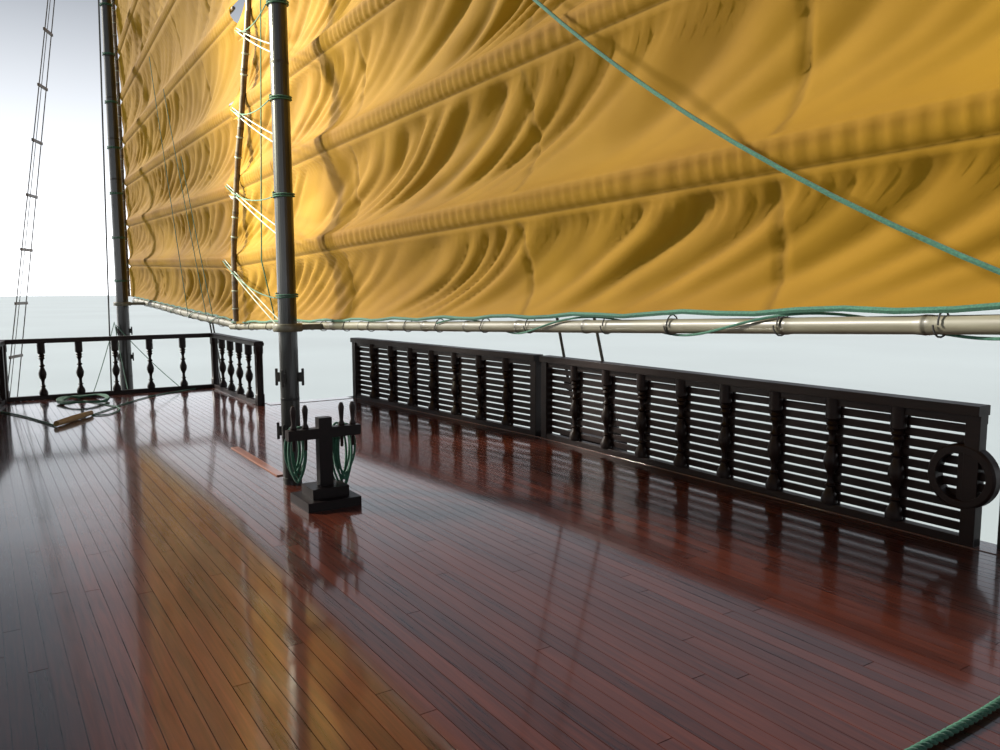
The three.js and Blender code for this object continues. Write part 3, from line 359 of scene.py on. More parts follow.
class Bench:
    """Gathers the parts of one piece and makes them into one mesh."""

    def __init__(self):
        self.points, self.faces, self.tones = [], [], []

    def add(self, points, faces, tone=0.5):
        base = len(self.points)
        self.points += [tuple(p) for p in points]
        self.faces += [[base + i for i in face] for face in faces]
        self.tones += list(tone) if np.ndim(tone) else [tone] * len(points)

    def board(self, low, high, tone=0.5, turn=0.0, about=(0, 0, 0)):
        """A board between two corners, turned about a point's upright axis."""
        c, s = math.cos(turn), math.sin(turn)
        points = [(x, y, z) for z in (low[2], high[2]) for y in (low[1], high[1]) for x in (low[0], high[0])]
        points = [(about[0] + c * x - s * y, about[1] + s * x + c * y, about[2] + z) for x, y, z in points]
        self.add(points, [(0, 2, 3, 1), (4, 5, 7, 6), (0, 1, 5, 4), (2, 6, 7, 3), (0, 4, 6, 2), (1, 3, 7, 5)],
                 tone)

    def rings(self, rings, tone=0.5, closed=False):
        """A skin over rings of equally many points, with an end cap on each side unless it is closed."""
        rings = np.array(rings, float)
        count, sides = rings.shape[:2]
        faces = []
        for i in range(count if closed else count - 1):
            for k in range(sides):
                n = (k + 1) % sides
                j = (i + 1) % count
                faces.append((i * sides + k, i * sides + n, j * sides + n, j * sides + k))
        if not closed:
            faces += [tuple(range(sides))[::-1], tuple(range((count - 1) * sides, count * sides))]
        if np.ndim(tone):
            tone = np.repeat(tone, sides)
        self.add(rings.reshape(-1, 3), faces, tone)

    def turned(self, profile, at, sides=20, tone=0.5, axis=(0, 0, 1), closed=False):
        """A profile of (radius, height) swept round an axis through a point."""
        spin = Vector(axis).to_track_quat("Z", "Y")
        rings = []
        for radius, height in profile:
            rings.append([Vector(at) + spin @ Vector((radius * math.cos(a), radius * math.sin(a), height))
                          for a in np.arange(sides) * 2 * math.pi / sides])
        self.rings(rings, tone, closed)

    def rod(self, points, radius, sides=8, tone=0.5):
        """A round rod along points; the radius may be one number or one for each point."""
        points = np.array(points, float)
        across, other = frames_along(points)
        radius = np.broadcast_to(radius, len(points))[:, None, None]
        angles = np.arange(sides) * 2 * math.pi / sides
        rings = points[:, None] + radius * (across[:, None] * np.cos(angles)[:, None]
                                            + other[:, None] * np.sin(angles)[:, None])
        self.rings(rings, tone)

    def rope(self, points, radius, lay, strands, sides):
        """A laid rope: strands that wind round each other along the points."""
        points = np.array(points, float)
        length = np.concatenate([[0], np.cumsum(np.linalg.norm(np.diff(points, axis=0), axis=1))])
        count = max(4, int(length[-1] / lay * 8))
        fine = np.linspace(0, length[-1], count + 1)
        line = np.stack([np.interp(fine, length, points[:, k]) for k in range(3)], axis=1)
        across, other = frames_along(line)
        for k in range(strands):
            angle = (2 * math.pi * (fine / lay + k / strands))[:, None]
            centre = line + 0.5 * radius * (across * np.cos(angle) + other * np.sin(angle))
            self.rod(centre, 0.55 * radius, sides)

    def skin(self, rows, tone=0.5):
        """A strip of quads over rows of equally many points."""
        rows = np.array(rows, float)
        count, wide = rows.shape[:2]
        faces = [(i * wide + j, i * wide + j + 1, (i + 1) * wide + j + 1, (i + 1) * wide + j)
                 for i in range(count - 1) for j in range(wide - 1)]
        self.add(rows.reshape(-1, 3), faces, tone)

    def piece(self, name, finish, body="ship", slot="dark_wood", bevel=0.0, angle=40):
        mesh = bpy.data.meshes.new(name)
        mesh.from_pydata(self.points, [], self.faces)
        mesh.polygons.foreach_set("use_smooth", [True] * len(mesh.polygons))
        mesh.set_sharp_from_angle(angle=math.radians(angle))
        mesh.attributes.new("tone", "FLOAT", "POINT").data.foreach_set("value", self.tones)
        mesh.materials.append(finish)
        made = bpy.data.objects.new(name, mesh)
        bpy.context.scene.collection.objects.link(made)
        if bevel:
            softened = made.modifiers.new("softened_edges", "BEVEL")
            softened.width, softened.segments = bevel, 2
            softened.limit_method, softened.angle_limit = "ANGLE", math.radians(angle)
            softened.harden_normals = True
        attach(made, body)
        print(name, len(mesh.vertices), "points")
        return made


# %% [markdown]
# ## The sundeck's planks
# The deck is laid in narrow planks along the ship, varnished red-brown, with dark seams between them.
# Planks could be painted on, but real seams are grooves, so each plank is a thin board of its own, cut to
# a length that varies, so that few ends line up. A border of wider boards frames them.

# %% The deck's outline and the planks
rng = np.random.default_rng(7)
SUNDECK_Z = 3.6
FRONT_X, FRONT_HALF, STERN_X, STERN_HALF = 9.35, 1.48, -12.5, 2.25
SUNDECK_EDGE = [(FRONT_X, FRONT_HALF), (7.0, 2.10), (4.0, 2.42), (-6.0, 2.52), (STERN_X, STERN_HALF)]
STAIR_WELL = {"back": 7.25, "inner": -0.96}
PLANK = {"pitch": 0.060, "seam": 0.003, "rise": 0.006, "length": 3.2}
PLANKS_A_SIDE = 40
BORDER, SUNK = 0.16, 0.004


def sundeck_half(x):
    return float(np.interp(x, [p[0] for p in SUNDECK_EDGE[::-1]], [p[1] for p in SUNDECK_EDGE[::-1]]))


def plank_reach(y):
    """The stretch of the sundeck that a plank at this y covers, from back to front."""
    inside = [x for x in np.linspace(STERN_X + BORDER, FRONT_X - BORDER, 900)
              if abs(y) < sundeck_half(x) - BORDER + 0.05]
    front = min(inside[-1], STAIR_WELL["back"] - 0.02) if y < STAIR_WELL["inner"] else inside[-1]
    return inside[0], front


def plank(bench, x0, x1, y, tone):
    """A thin board with square edges, 6 mm above the deck's solid."""
    half = (PLANK["pitch"] - PLANK["seam"]) / 2
    low, top = SUNDECK_Z - SUNK, SUNDECK_Z + PLANK["rise"]
    ring = [(y - half, low), (y + half, low), (y + half, top), (y - half, top)]
    bench.rings([[(x, w, z) for w, z in ring] for x in (x0, x1)], tone)


planks = Bench()
for k in range(-PLANKS_A_SIDE, PLANKS_A_SIDE + 1):
    y = k * PLANK["pitch"]
    back, front = plank_reach(y)
    x = back - rng.uniform(0, PLANK["length"])
    while x < front:
        end = x + PLANK["length"] * rng.uniform(0.85, 1.15)
        if min(end, front) - max(x, back) > 0.02:
            plank(planks, max(x, back), min(end, front) - 0.003, y, rng.uniform(0.1, 0.75))
        x = end
planks.piece("deck_planks", deck_varnish, slot="deck_wood", angle=20)


# %% The border boards
border = Bench()


def border_board(a, b, wide, tone):
    """A flat board along the deck's edge from a to b, lying inward."""
    y0, y1 = sorted((0, wide))
    border.board((-0.01, y0, -SUNK), (math.dist(a, b) + 0.01, y1, PLANK["rise"] + SUNK), tone,
                 math.atan2(b[1] - a[1], b[0] - a[0]), (a[0], a[1], SUNDECK_Z))


well_side = (STAIR_WELL["back"], -sundeck_half(STAIR_WELL["back"]))
for side in (1, -1):
    edge = [(x, side * half) for x, half in SUNDECK_EDGE]
    if side == -1:
        edge[0] = well_side
    for a, b in zip(edge, edge[1:]):
        pieces = max(1, round(math.dist(a, b) / 3))
        for i in range(pieces):
            p, q = (tuple(np.array(a) + (np.array(b) - a) * (i + k) / pieces) for k in (0, 1))
            border_board(*((q, p) if side == 1 else (p, q)), -BORDER, rng.uniform(0.2, 0.6))
well_corner, front_corner = (STAIR_WELL["back"], STAIR_WELL["inner"]), (FRONT_X, STAIR_WELL["inner"])
border_board(front_corner, (FRONT_X, FRONT_HALF), BORDER, 0.4)
border_board(well_corner, front_corner, BORDER, 0.3)
border_board(well_side, well_corner, BORDER, 0.5)
border_board((STERN_X, STERN_HALF), (STERN_X, -STERN_HALF), BORDER, 0.5)
border.piece("deck_border", deck_varnish, slot="deck_wood", bevel=0.003)

# %% [markdown]
# ## Rails
# Across the front of the sundeck stands a rail of turned balusters. Along the sides and the stern, turned
# bars stand towards the deck and flat battens with thin slats close the rail behind them, nearly black. The
# gaps between the slats are narrow, but daylight shows through them.

# %% The turned front rail
RAIL = {"top": 0.70, "strip": 0.685, "strip_half": 0.045, "cap": 0.65, "cap_half": 0.055,
        "foot": 0.006, "foot_top": 0.05, "foot_half": 0.03}
RAIL_INSET, FRONT_RAIL_X, STAIR_RAIL_Y = 0.12, 9.05, -0.86
BALUSTER = [(0.044, 0.05), (0.046, 0.075), (0.040, 0.10), (0.026, 0.125), (0.018, 0.145), (0.030, 0.155),
            (0.018, 0.167), (0.016, 0.20), (0.020, 0.225), (0.034, 0.25), (0.041, 0.285), (0.040, 0.31),
            (0.028, 0.345), (0.018, 0.375), (0.032, 0.39), (0.018, 0.405), (0.016, 0.435), (0.021, 0.46),
            (0.034, 0.475), (0.024, 0.49), (0.036, 0.505), (0.024, 0.52), (0.040, 0.535), (0.040, 0.66)]
BALUSTER_PITCH = 0.376


def along_run(a, b, x, y=0.0):
    """A point of a rail's run, x along it and y to its left, on the deck."""
    turn = math.atan2(b[1] - a[1], b[0] - a[0])
    return a[0] + x * math.cos(turn) - y * math.sin(turn), a[1] + x * math.sin(turn) + y * math.cos(turn)


def turned_run(bench, a, b, ends):
    length, turn = math.dist(a, b), math.atan2(b[1] - a[1], b[0] - a[0])
    about = (a[0], a[1], SUNDECK_Z)
    for half, low, high, tone in ((RAIL["cap_half"], RAIL["cap"], RAIL["strip"], 0.4),
                                  (RAIL["strip_half"], RAIL["strip"], RAIL["top"], 0.5),
                                  (RAIL["foot_half"], RAIL["foot"], RAIL["foot_top"], 0.4)):
        bench.board((ends[0], -half, low), (length - ends[1], half, high), tone, turn, about)
    bars = round(length / BALUSTER_PITCH)
    for i in range(bars + 1):
        x, y = along_run(a, b, length * i / bars)
        bench.turned(BALUSTER, (x, y, SUNDECK_Z), 20, 0.3)


def rail_at(x, side):
    return x, side * (sundeck_half(x) - RAIL_INSET)


PORT_CORNER = rail_at(FRONT_RAIL_X, 1)
STAIR_CORNER, STAIR_BACK = (FRONT_RAIL_X, STAIR_RAIL_Y), (7.15, STAIR_RAIL_Y)
front = Bench()
turned_run(front, PORT_CORNER, STAIR_CORNER, (-0.04, -0.04))
turned_run(front, STAIR_CORNER, STAIR_BACK, (0.03, -0.03))
for x, y in (PORT_CORNER, STAIR_CORNER, STAIR_BACK):
    front.turned([(0.052, 0.006), (0.052, 0.12), (0.045, 0.13), (0.045, 0.56), (0.052, 0.57), (0.052, 0.652)],
                 (x, y, SUNDECK_Z), 8, 0.3)
front_rail = front.piece("front_rail_turned", dark_varnish, bevel=0.003)
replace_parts(front_rail, "front_rail")


# %% The slatted side rails
POST = 0.07
SLATS = {"count": 10, "from": 0.064, "pitch": 0.0545, "tall": 0.041, "out": 0.022, "half": 0.009}
RING = {"radius": 0.162, "inner": 0.118, "half": 0.038, "z": 0.345, "back": 0.045}


def slatted_run(bench, a, b, out, ring):
    """Turned bars on the deck's side and slats behind them; out is 1 where the sea is on the run's left."""
    length, turn = math.dist(a, b), math.atan2(b[1] - a[1], b[0] - a[0])

    def board(x0, x1, y, half, z0, z1, tone=0.35):
        bench.board((x0, y - half, z0), (x1, y + half, z1), tone, turn, (a[0], a[1], SUNDECK_Z))

    ends = -POST / 2, length + POST / 2
    board(*ends, 0, RAIL["cap_half"], RAIL["cap"], RAIL["top"])
    board(*ends, 0.5 * out * SLATS["out"], 0.03, 0.607, RAIL["cap"])
    board(*ends, 0, RAIL["foot_half"], RAIL["foot"], RAIL["foot_top"])
    levels = [SLATS["from"] + i * SLATS["pitch"] for i in range(SLATS["count"])]
    for z in levels:
        board(0, length, out * SLATS["out"], SLATS["half"], z, z + SLATS["tall"], rng.uniform(0.1, 0.5))
    bars = max(1, round(length / BALUSTER_PITCH))
    for i in range(bars + 1):
        x = length * i / bars
        if i in (0, bars):
            board(x - POST / 2, x + POST / 2, 0, POST / 2, RAIL["foot"], 0.69, 0.3)
        else:
            board(x - POST / 2, x + POST / 2, out * 0.039, 0.009, 0.03, 0.65, 0.3)
            bench.turned(BALUSTER, (*along_run(a, b, x, -0.008 * out), SUNDECK_Z), 10, 0.3)
    if ring:
        centre, inner, r, half = length - RING["back"], RING["inner"], RING["radius"], RING["half"]
        side = (math.sin(turn), -math.cos(turn), 0)
        rim = [(inner, -half), (r - 0.01, -half), (r, -half + 0.01), (r, half - 0.01), (r - 0.01, half),
               (inner, half)]
        bench.turned(rim, (*along_run(a, b, centre), SUNDECK_Z + RING["z"]), 48, 0.3, side, closed=True)
        board(centre - 0.022, centre + 0.022, 0, 0.02, RING["z"] - inner, RING["z"] + inner)
        for z in levels:
            away = abs(z + SLATS["tall"] / 2 - RING["z"])
            if away < inner:
                reach = math.sqrt(inner ** 2 - away ** 2) + 0.005
                board(centre, centre + reach, 0, 0.01, z, z + SLATS["tall"])


STERN_RAIL_X = -12.3
stern_y = sundeck_half(STERN_RAIL_X) - 0.24
RUNS = {
    "rail_port_fore": ((8.91, PORT_CORNER[1] + 0.024), rail_at(4.0, 1), False),
    "rail_port_mid": (rail_at(3.85, 1), rail_at(-5.9, 1), False),
    "rail_port_aft": (rail_at(-6.05, 1), rail_at(STERN_RAIL_X, 1), False),
    "rail_starboard_fore": (rail_at(7.09, -1), rail_at(4.05, -1), False),
    "rail_starboard_mid": (rail_at(3.9, -1), rail_at(0.48, -1), True),
    "rail_starboard_waist": (rail_at(-0.47, -1), rail_at(-5.9, -1), False),
    "rail_starboard_aft": (rail_at(-6.05, -1), rail_at(STERN_RAIL_X, -1), False),
    "rail_stern": ((STERN_RAIL_X, stern_y), (STERN_RAIL_X, -stern_y), False),
}
for name, (a, b, ring) in RUNS.items():
    run = Bench()
    slatted_run(run, a, b, 1 if "starboard" in name else -1, ring)
    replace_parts(run.piece(name.replace("rail", "slats"), dark_varnish, bevel=0.003), name)

# %% [markdown]
# ## The sails
# Each sail is one sheet of dyed cotton, stretched between bamboo battens. Between two battens it bellies
# away to starboard. Just over a batten it comes forward in a crisp crest, wraps the batten in a pocket
# that ends at a line of stitches, and falls back into the next belly. Slack cloth gathers in long folds
# that start steep under the stitches and flatten towards the lower batten. No cloth simulation is run: the
# sheet is a grid, with the section above as its shape and sums of folded waves as its slack. The seams and
# stitches are drawn darker, and the valleys of the folds and puckers get painted shade.

# %% Where the spars and battens are
class Rig:
    """One mast's sail: where the mast and the sail's plane are, and its spars from the boom to the yard."""

    def __init__(self, name, mast_x, plane, boom_radius, pole_back, leech, busiest, rows, seams):
        self.leech_out, self.leech_away = leech
        self.busiest = busiest
        self.name, self.mast_x, self.boom_radius, self.pole_back = name, mast_x, boom_radius, pole_back
        self.rows = [row if len(row) == 5 else (*row, plane) for row in rows]
        self.seams = seams

    def spot(self, i, share):
        """A point of spar i, from its luff end at share 0 to its leech end at 1."""
        fore, luff_z, aft, leech_z, plane = self.rows[i]
        x = self.mast_x + fore - share * (fore + aft)
        return np.array([x, plane + 0 * x, SUNDECK_Z + luff_z + share * (leech_z - luff_z)])

    def pole_share(self, i):
        return self.pole_back / (self.rows[i][0] + self.rows[i][2])


MAIN = Rig("main", 3.56, -0.25, 0.027, 0.46, (0.0, 0.0), 3.9,
           [(2.300, 0.925, 6.29, 1.270), (2.298, 1.514, 6.31, 1.725), (2.114, 2.139, 6.34, 2.300),
            (1.861, 2.725, 6.34, 2.904), (1.643, 3.288, 6.32, 3.576), (1.52, 3.86, 6.24, 4.376),
            (1.40, 4.44, 6.02, 5.40), (1.29, 5.04, 5.61, 6.60), (1.18, 5.67, 4.97, 7.95),
            (1.08, 6.34, 3.94, 9.65)],
           [(3.05, -0.20), (1.27, -0.06), (-0.01, -0.10), (-1.35, -0.12), (4.45, -0.15)])
FORE = Rig("fore", 10.33, -0.32, 0.040, 0.04, (0.12, 0.07), 1.8,
           [(1.10, 1.094, 4.36, 0.928), (1.10, 1.664, 4.38, 1.523), (1.10, 2.230, 4.50, 2.139),
            (1.09, 2.806, 4.68, 2.806), (1.06, 3.392, 4.80, 3.564), (0.93, 3.97, 4.72, 4.45, -0.30),
            (0.81, 4.57, 4.40, 5.49, -0.28), (0.69, 5.18, 3.85, 6.69, -0.26),
            (0.56, 5.81, 3.10, 8.05, -0.25)],
           [(9.3, -0.1), (8.1, -0.1), (6.9, -0.1)])
BATTEN_RADIUS, POLE_RADIUS, YARD_RADIUS = 0.022, 0.024, 0.050
BATTEN_OUT = 0.0343
POLE_OUT = BATTEN_OUT + BATTEN_RADIUS + POLE_RADIUS


# %% Smooth random numbers over a surface
LATTICE = 64


def soft_noise(x, y, seed):
    """Smooth noise from -1 to 1: random values on a square lattice, joined by an easing curve."""
    lattice = np.random.default_rng(seed).uniform(-1, 1, (LATTICE, LATTICE))
    x, y = np.broadcast_arrays(x, y)
    xi, yi = np.floor(x).astype(int), np.floor(y).astype(int)
    u, v = x - xi, y - yi
    u, v = u * u * (3 - 2 * u), v * v * (3 - 2 * v)
    corner = {(i, j): lattice[(xi + i) % LATTICE, (yi + j) % LATTICE] for i in (0, 1) for j in (0, 1)}
    return ((corner[0, 0] * (1 - u) + corner[1, 0] * u) * (1 - v)
            + (corner[0, 1] * (1 - u) + corner[1, 1] * u) * v)


def creases(phase):
    """Waves with round backs and sharp valleys, from -0.6 to 0.4."""
    return np.abs(np.cos(math.pi * phase)) ** 1.2 - 0.6


# %% The folds in one panel
SWEEP, FOLD_PITCH, BIG_PITCH = 0.95, 0.24, 0.62


def slack(along, t, height, seed, busiest):
    """How far the cloth stands to port of its belly, and a valley depth that paints shade on it."""
    bent = along + SWEEP * np.clip(height / 0.6, 0.8, 1.7) * (1 - t) ** 1.35
    bent = bent + 0.10 * soft_noise(along * 1.1, t * 1.5, seed)
    bent = bent + 0.16 * soft_noise(along * 0.45, t * 0.6, seed + 8)
    amount = np.clip(0.8 + 0.9 * soft_noise(along * 0.8, t * 0.8, seed + 1), 0.15, 1.5)
    amount = amount * (0.65 + 0.4 * np.exp(-((along - busiest) / 1.9) ** 2))
    middle = min(1.0, (1 - t) * 9) * min(1.0, t * 3) ** 0.6
    big = creases(bent / BIG_PITCH + 0.45 * soft_noise(along * 0.6, t * 0.5, seed + 2))
    strength = np.clip(0.85 + 0.8 * soft_noise(bent * 1.7, t * 0.4, seed + 6), 0.25, 1.6)
    small = creases(bent / FOLD_PITCH + 0.9 * soft_noise(bent * 1.6, t * 0.6, seed + 3))
    drape = (0.026 * big + 0.029 * strength * small) * amount * middle
    fine = 0.8 * soft_noise(along * 3, t * 2, seed + 4)
    puckers = 0.009 * np.cos(2 * math.pi * (bent / 0.06 + fine))
    puckers = puckers * np.exp(-(1 - t) * height / 0.14) * np.clip((1 - t) * 8, 0, 1)
    up, ahead_of = t * height, np.maximum(along, 0.0) + 0.03
    reach = np.hypot(up, ahead_of)
    fan = 0.020 * creases(np.arctan2(up, ahead_of) / 0.15 + 0.2)
    fan = fan * np.exp(-reach / 1.3) * np.clip(reach / 0.3, 0, 1) * middle
    ripples = 0.003 * soft_noise(along * 9, t * height * 9, seed + 5) * middle
    # How deep each place lies in a fold's valley; it darkens the cloth as painted shade.
    valley = np.clip(-0.1 - small, 0, 1) * strength * 2 + np.clip(-0.2 - big, 0, 1) * 0.8
    return drape + fan + puckers + ripples, np.clip(valley * amount * middle, 0, 1)


# %% One sail as a sheet
CREST_UP, CREST_OUT = 0.030, 0.046
STITCH = 0.074
POCKET = ((0.082, 0.032), (STITCH, 0.029), (0.068, 0.038), (0.050, 0.050), (0.030, 0.056), (0.008, 0.060),
          (-0.010, 0.062), (-0.022, 0.056))
POINT_UP, POINT_DOWN, LEAN = 0.26, 0.04, 0.16
BEHIND_POLE, POLE_SIDE = 0.13, 0.045


def seam_pull(rig, x, z):
    """1 on a seam between two cloths of the sail and 0 away from it."""
    seams = [np.exp(-((x - place - lean * (z - SUNDECK_Z - 2)) / 0.016) ** 2) for place, lean in rig.seams]
    return np.max(seams, axis=0)


def make_sail(rig, columns, panel_rows, seed):
    share = np.linspace(0.0, 0.992, columns)
    lines, seam_marks_and_painted_shade = [], []
    last = len(rig.rows) - 2
    for p in range(last + 1):
        low, high = rig.spot(p, share), rig.spot(p + 1, share)
        height = high[2] - low[2]
        width = rig.rows[p][0] + rig.rows[p][2]
        bottom = low[2] + (rig.boom_radius + 0.012 if p == 0 else CREST_UP)
        top = high[2] - (YARD_RADIUS + 0.002 if p == last else POCKET[0][0])
        depth = 0.055 * np.clip(height / 0.6, 0.85, 1.8) * (0.45 + 0.55 * np.sin(math.pi * share) ** 0.7)
        tied = np.exp(-share * width / 0.22)
        for k in range(panel_rows[p]):
            t = k / (panel_rows[p] - 1) if p == last else k / panel_rows[p]
            q = t ** 1.1
            over = 1 if p == 0 else min(1, q * height[0] / POINT_UP)
            under = 1 if p == last else 1 - math.exp(-(1 - q) * height[0] / POINT_DOWN)
            between = over * under
            retreat = max(0, rig.pole_back - BEHIND_POLE) * between * (1 - share) ** 3
            x = low[0] + (high[0] - low[0]) * t - retreat
            along = low[0][0] - x - rig.pole_back * 0.6
            belly = depth * max(0, math.sin(math.pi * q ** 0.7)) ** 1.1
            folds, valley = slack(along, q, height, seed + 11 * p, rig.busiest)
            out = (0 if p == 0 else CREST_OUT * math.exp(-q / LEAN)) + (folds - belly) * (1 - tied)
            out = out + (0 if p == last else POCKET[0][1] * math.exp(-(1 - q) / LEAN))
            out = out + POLE_SIDE * between * tied
            z = bottom + (top - bottom) * q
            seam = seam_pull(rig, x, z)
            out = out - 0.014 * seam * math.sin(math.pi * q)
            out = out + 0.006 * np.abs(seam - 0.35) * np.cos(2 * math.pi * z / 0.045) * (seam > 0.04)
            leech = max(0, math.sin(math.pi * q)) ** 0.6 * np.exp(-width * (1 - share) / 0.35)
            x = x - rig.leech_out * leech
            out = out - rig.leech_away * leech
            lines.append((x, low[1] + (high[1] - low[1]) * t + out, z))
            # Tone: seams drawn dark, and painted shade in the valleys of the folds.
            seam_marks_and_painted_shade.append(np.maximum(0.6 * seam, 0.55 * valley))
        for drop, out in POCKET if p < last else ():
            bulge = max(0.0, math.sin(math.pi * (STITCH - drop) / 0.096))
            ruck = 2 * creases(share * width / 0.062 + 1.2 * soft_noise(share * 25, p, seed + p))
            ruck = ruck * (0.6 + 0.5 * soft_noise(share * 9, p, seed + 1))
            lines.append((high[0], high[1] + out + 0.009 * bulge * ruck, high[2] - drop))
            # A dark line at the stitches, and painted shade in the valleys of the pocket's puckers.
            seam_marks_and_painted_shade.append(0.75 * (drop == STITCH) + np.clip(0.05 - 0.15 * ruck * bulge, 0, 1))
    grid = np.stack([np.stack(line, axis=1) for line in lines])
    sheet = Bench()
    sheet.skin(grid, np.stack(seam_marks_and_painted_shade).reshape(-1))
    made = sheet.piece(f"{rig.name}_sail_cloth", ochre_canvas, f"{rig.name}_sail_set", "sail_cloth",
                       angle=180)
    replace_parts(made, f"{rig.name}_sail")
    return made, float(np.ptp(grid[:, :, 2]))


for rig, columns, panel_rows, seed in ((MAIN, 480, (24, 26, 26, 22, 10, 8, 8, 8, 8), 3),
                                       (FORE, 300, (24, 26, 26, 24, 14, 10, 10, 10), 101)):
    sail, tall = make_sail(rig, columns, panel_rows, seed)

# %% [markdown]
# ## Bamboo spars
# Boom, yard, battens and luff pole are whole bamboo canes. A cane swells a little at each joint and has a
# fine groove there, so its radius changes along its length. The battens lie hidden in their pockets and
# show only at their ends.

# %% Grow the canes
def cane_rod(bench, a, b, radius_a, radius_b, joint_pitch, sides=14, plain=0.12):
    """A bamboo cane from a to b, with a swelling and a dark ring at each joint."""
    a, b = np.array(a, float), np.array(b, float)
    length = np.linalg.norm(b - a)
    stops, radii, tones = [0.0], [0.9], [plain]
    at = joint_pitch * rng.uniform(0.4, 0.9)
    while at < length - 0.05:
        for offset, swell, tone in ((-0.030, 1.0, plain), (-0.010, 1.07, plain + 0.1), (-0.003, 1.12, 0.9),
                                    (0.002, 1.02, 1.0), (0.006, 1.10, 0.8), (0.016, 1.03, plain + 0.1),
                                    (0.035, 1.0, plain)):
            stops.append(at + offset)
            radii.append(swell)
            tones.append(tone)
        at += joint_pitch * rng.uniform(0.85, 1.15)
    stops, radii, tones = stops + [length], radii + [0.9], tones + [plain]
    share = np.array(stops) / length
    sway = 0.12 * radius_a * np.sin(share * 9 + a[0])[:, None] * np.array([0, 0.5, 1.0])
    radius = np.array(radii) * (radius_a + (radius_b - radius_a) * share)
    bench.rod(a + (b - a) * share[:, None] + sway, radius, sides, tones)


ARM_HALF = 0.018


def hoop(bench, rig, radius, z, plane):
    """A hoop round the mast, with the arm that holds a spar."""
    inner = radius + 0.004
    ring = [(inner, -0.025), (inner + 0.026, -0.025), (inner + 0.03, -0.02), (inner + 0.03, 0.02),
            (inner + 0.026, 0.025), (inner, 0.025)]
    circle = []
    for turn in np.arange(32) * math.pi / 16:
        circle.append([(rig.mast_x + r * math.cos(turn), r * math.sin(turn), z + h) for r, h in ring])
    bench.rings(circle, 0.5, closed=True)
    bench.board((rig.mast_x - ARM_HALF, plane + 0.01, z - ARM_HALF),
                (rig.mast_x + ARM_HALF, -inner - 0.01, z + ARM_HALF), 0.5)


MAST_RADII = {"main": [(1.2, 0.085), (3.6, 0.060), (14.1, 0.042)],
              "fore": [(1.2, 0.100), (3.6, 0.080), (12.7, 0.045)]}


def mast_radius(rig, z):
    return float(np.interp(z, *zip(*MAST_RADII[rig.name])))


for rig in (MAIN, FORE):
    body, last = f"{rig.name}_sail_set", len(rig.rows) - 1
    boom, yard, canes = Bench(), Bench(), Bench()
    cane_rod(boom, rig.spot(0, 0.0), rig.spot(0, 1.0), rig.boom_radius, rig.boom_radius - 0.005, 0.42)
    cane_rod(yard, rig.spot(last, -0.01), rig.spot(last, 1.01), YARD_RADIUS, YARD_RADIUS - 0.008, 0.5)
    for bench, i in ((boom, 0), (yard, last)):
        z = rig.spot(i, rig.rows[i][0] / (rig.rows[i][0] + rig.rows[i][2]))[2]
        hoop(bench, rig, mast_radius(rig, z), z, rig.rows[i][4])
    for i in range(1, last):
        cane_rod(canes, rig.spot(i, 0) + (0.03, BATTEN_OUT, 0), rig.spot(i, 1) + (0, BATTEN_OUT, 0),
                 BATTEN_RADIUS, BATTEN_RADIUS - 0.006, 0.35, 10, 0.3)
    for i in range(last):
        foot, head = (rig.spot(k, rig.pole_share(k)) + (0, POLE_OUT, 0) for k in (i, i + 1))
        foot = foot + (0, 0, rig.boom_radius + 0.02 if i == 0 else 0)
        head = head - (0, 0, YARD_RADIUS + 0.03 if i + 1 == last else 0)
        cane_rod(canes, foot, head, POLE_RADIUS, POLE_RADIUS, 0.24, 12, 0.3)
    for bench, part, finish, slot in ((boom, "boom", pale_bamboo, "bamboo"),
                                      (yard, "yard", old_bamboo, "dark_bamboo"),
                                      (canes, "battens", old_bamboo, "dark_bamboo")):
        piece = bench.piece(f"{rig.name}_{part}_canes", finish, body, slot, angle=60)
        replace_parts(piece, f"{rig.name}_{part}")

# %% [markdown]
# ## Lacing and the ropes of the sails
# White line laces the tip of each main batten to the mast, about half a metre lower. On both masts green
# line leads from each tip to a few turns round the mast. A green rope runs along each sail's foot, tied to
# the boom every few hands, and another crosses the main sail. They ride with the sails. All of them are
# thin, so they are plain rods.

# %% Lace the sails to their masts
def ring_turns(bench, rig, z, rise, turns, radius):
    """Thin line wound round a mast."""
    reach = mast_radius(rig, z) + 0.004 + radius
    angle = np.linspace(0.4, 0.4 + turns * 2 * math.pi, int(turns * 18))
    bench.rod(np.stack([rig.mast_x + reach * np.cos(angle), reach * np.sin(angle),
                        z + rise * np.linspace(0, 1, len(angle))], axis=1), radius, 6)


def hang(a, b, sag, count=12):
    """Points from a to b along a line that sags."""
    t = np.linspace(0, 1, count)[:, None]
    return np.array(a) + (np.array(b) - a) * t - np.array([0, 0, sag]) * 4 * t * (1 - t)


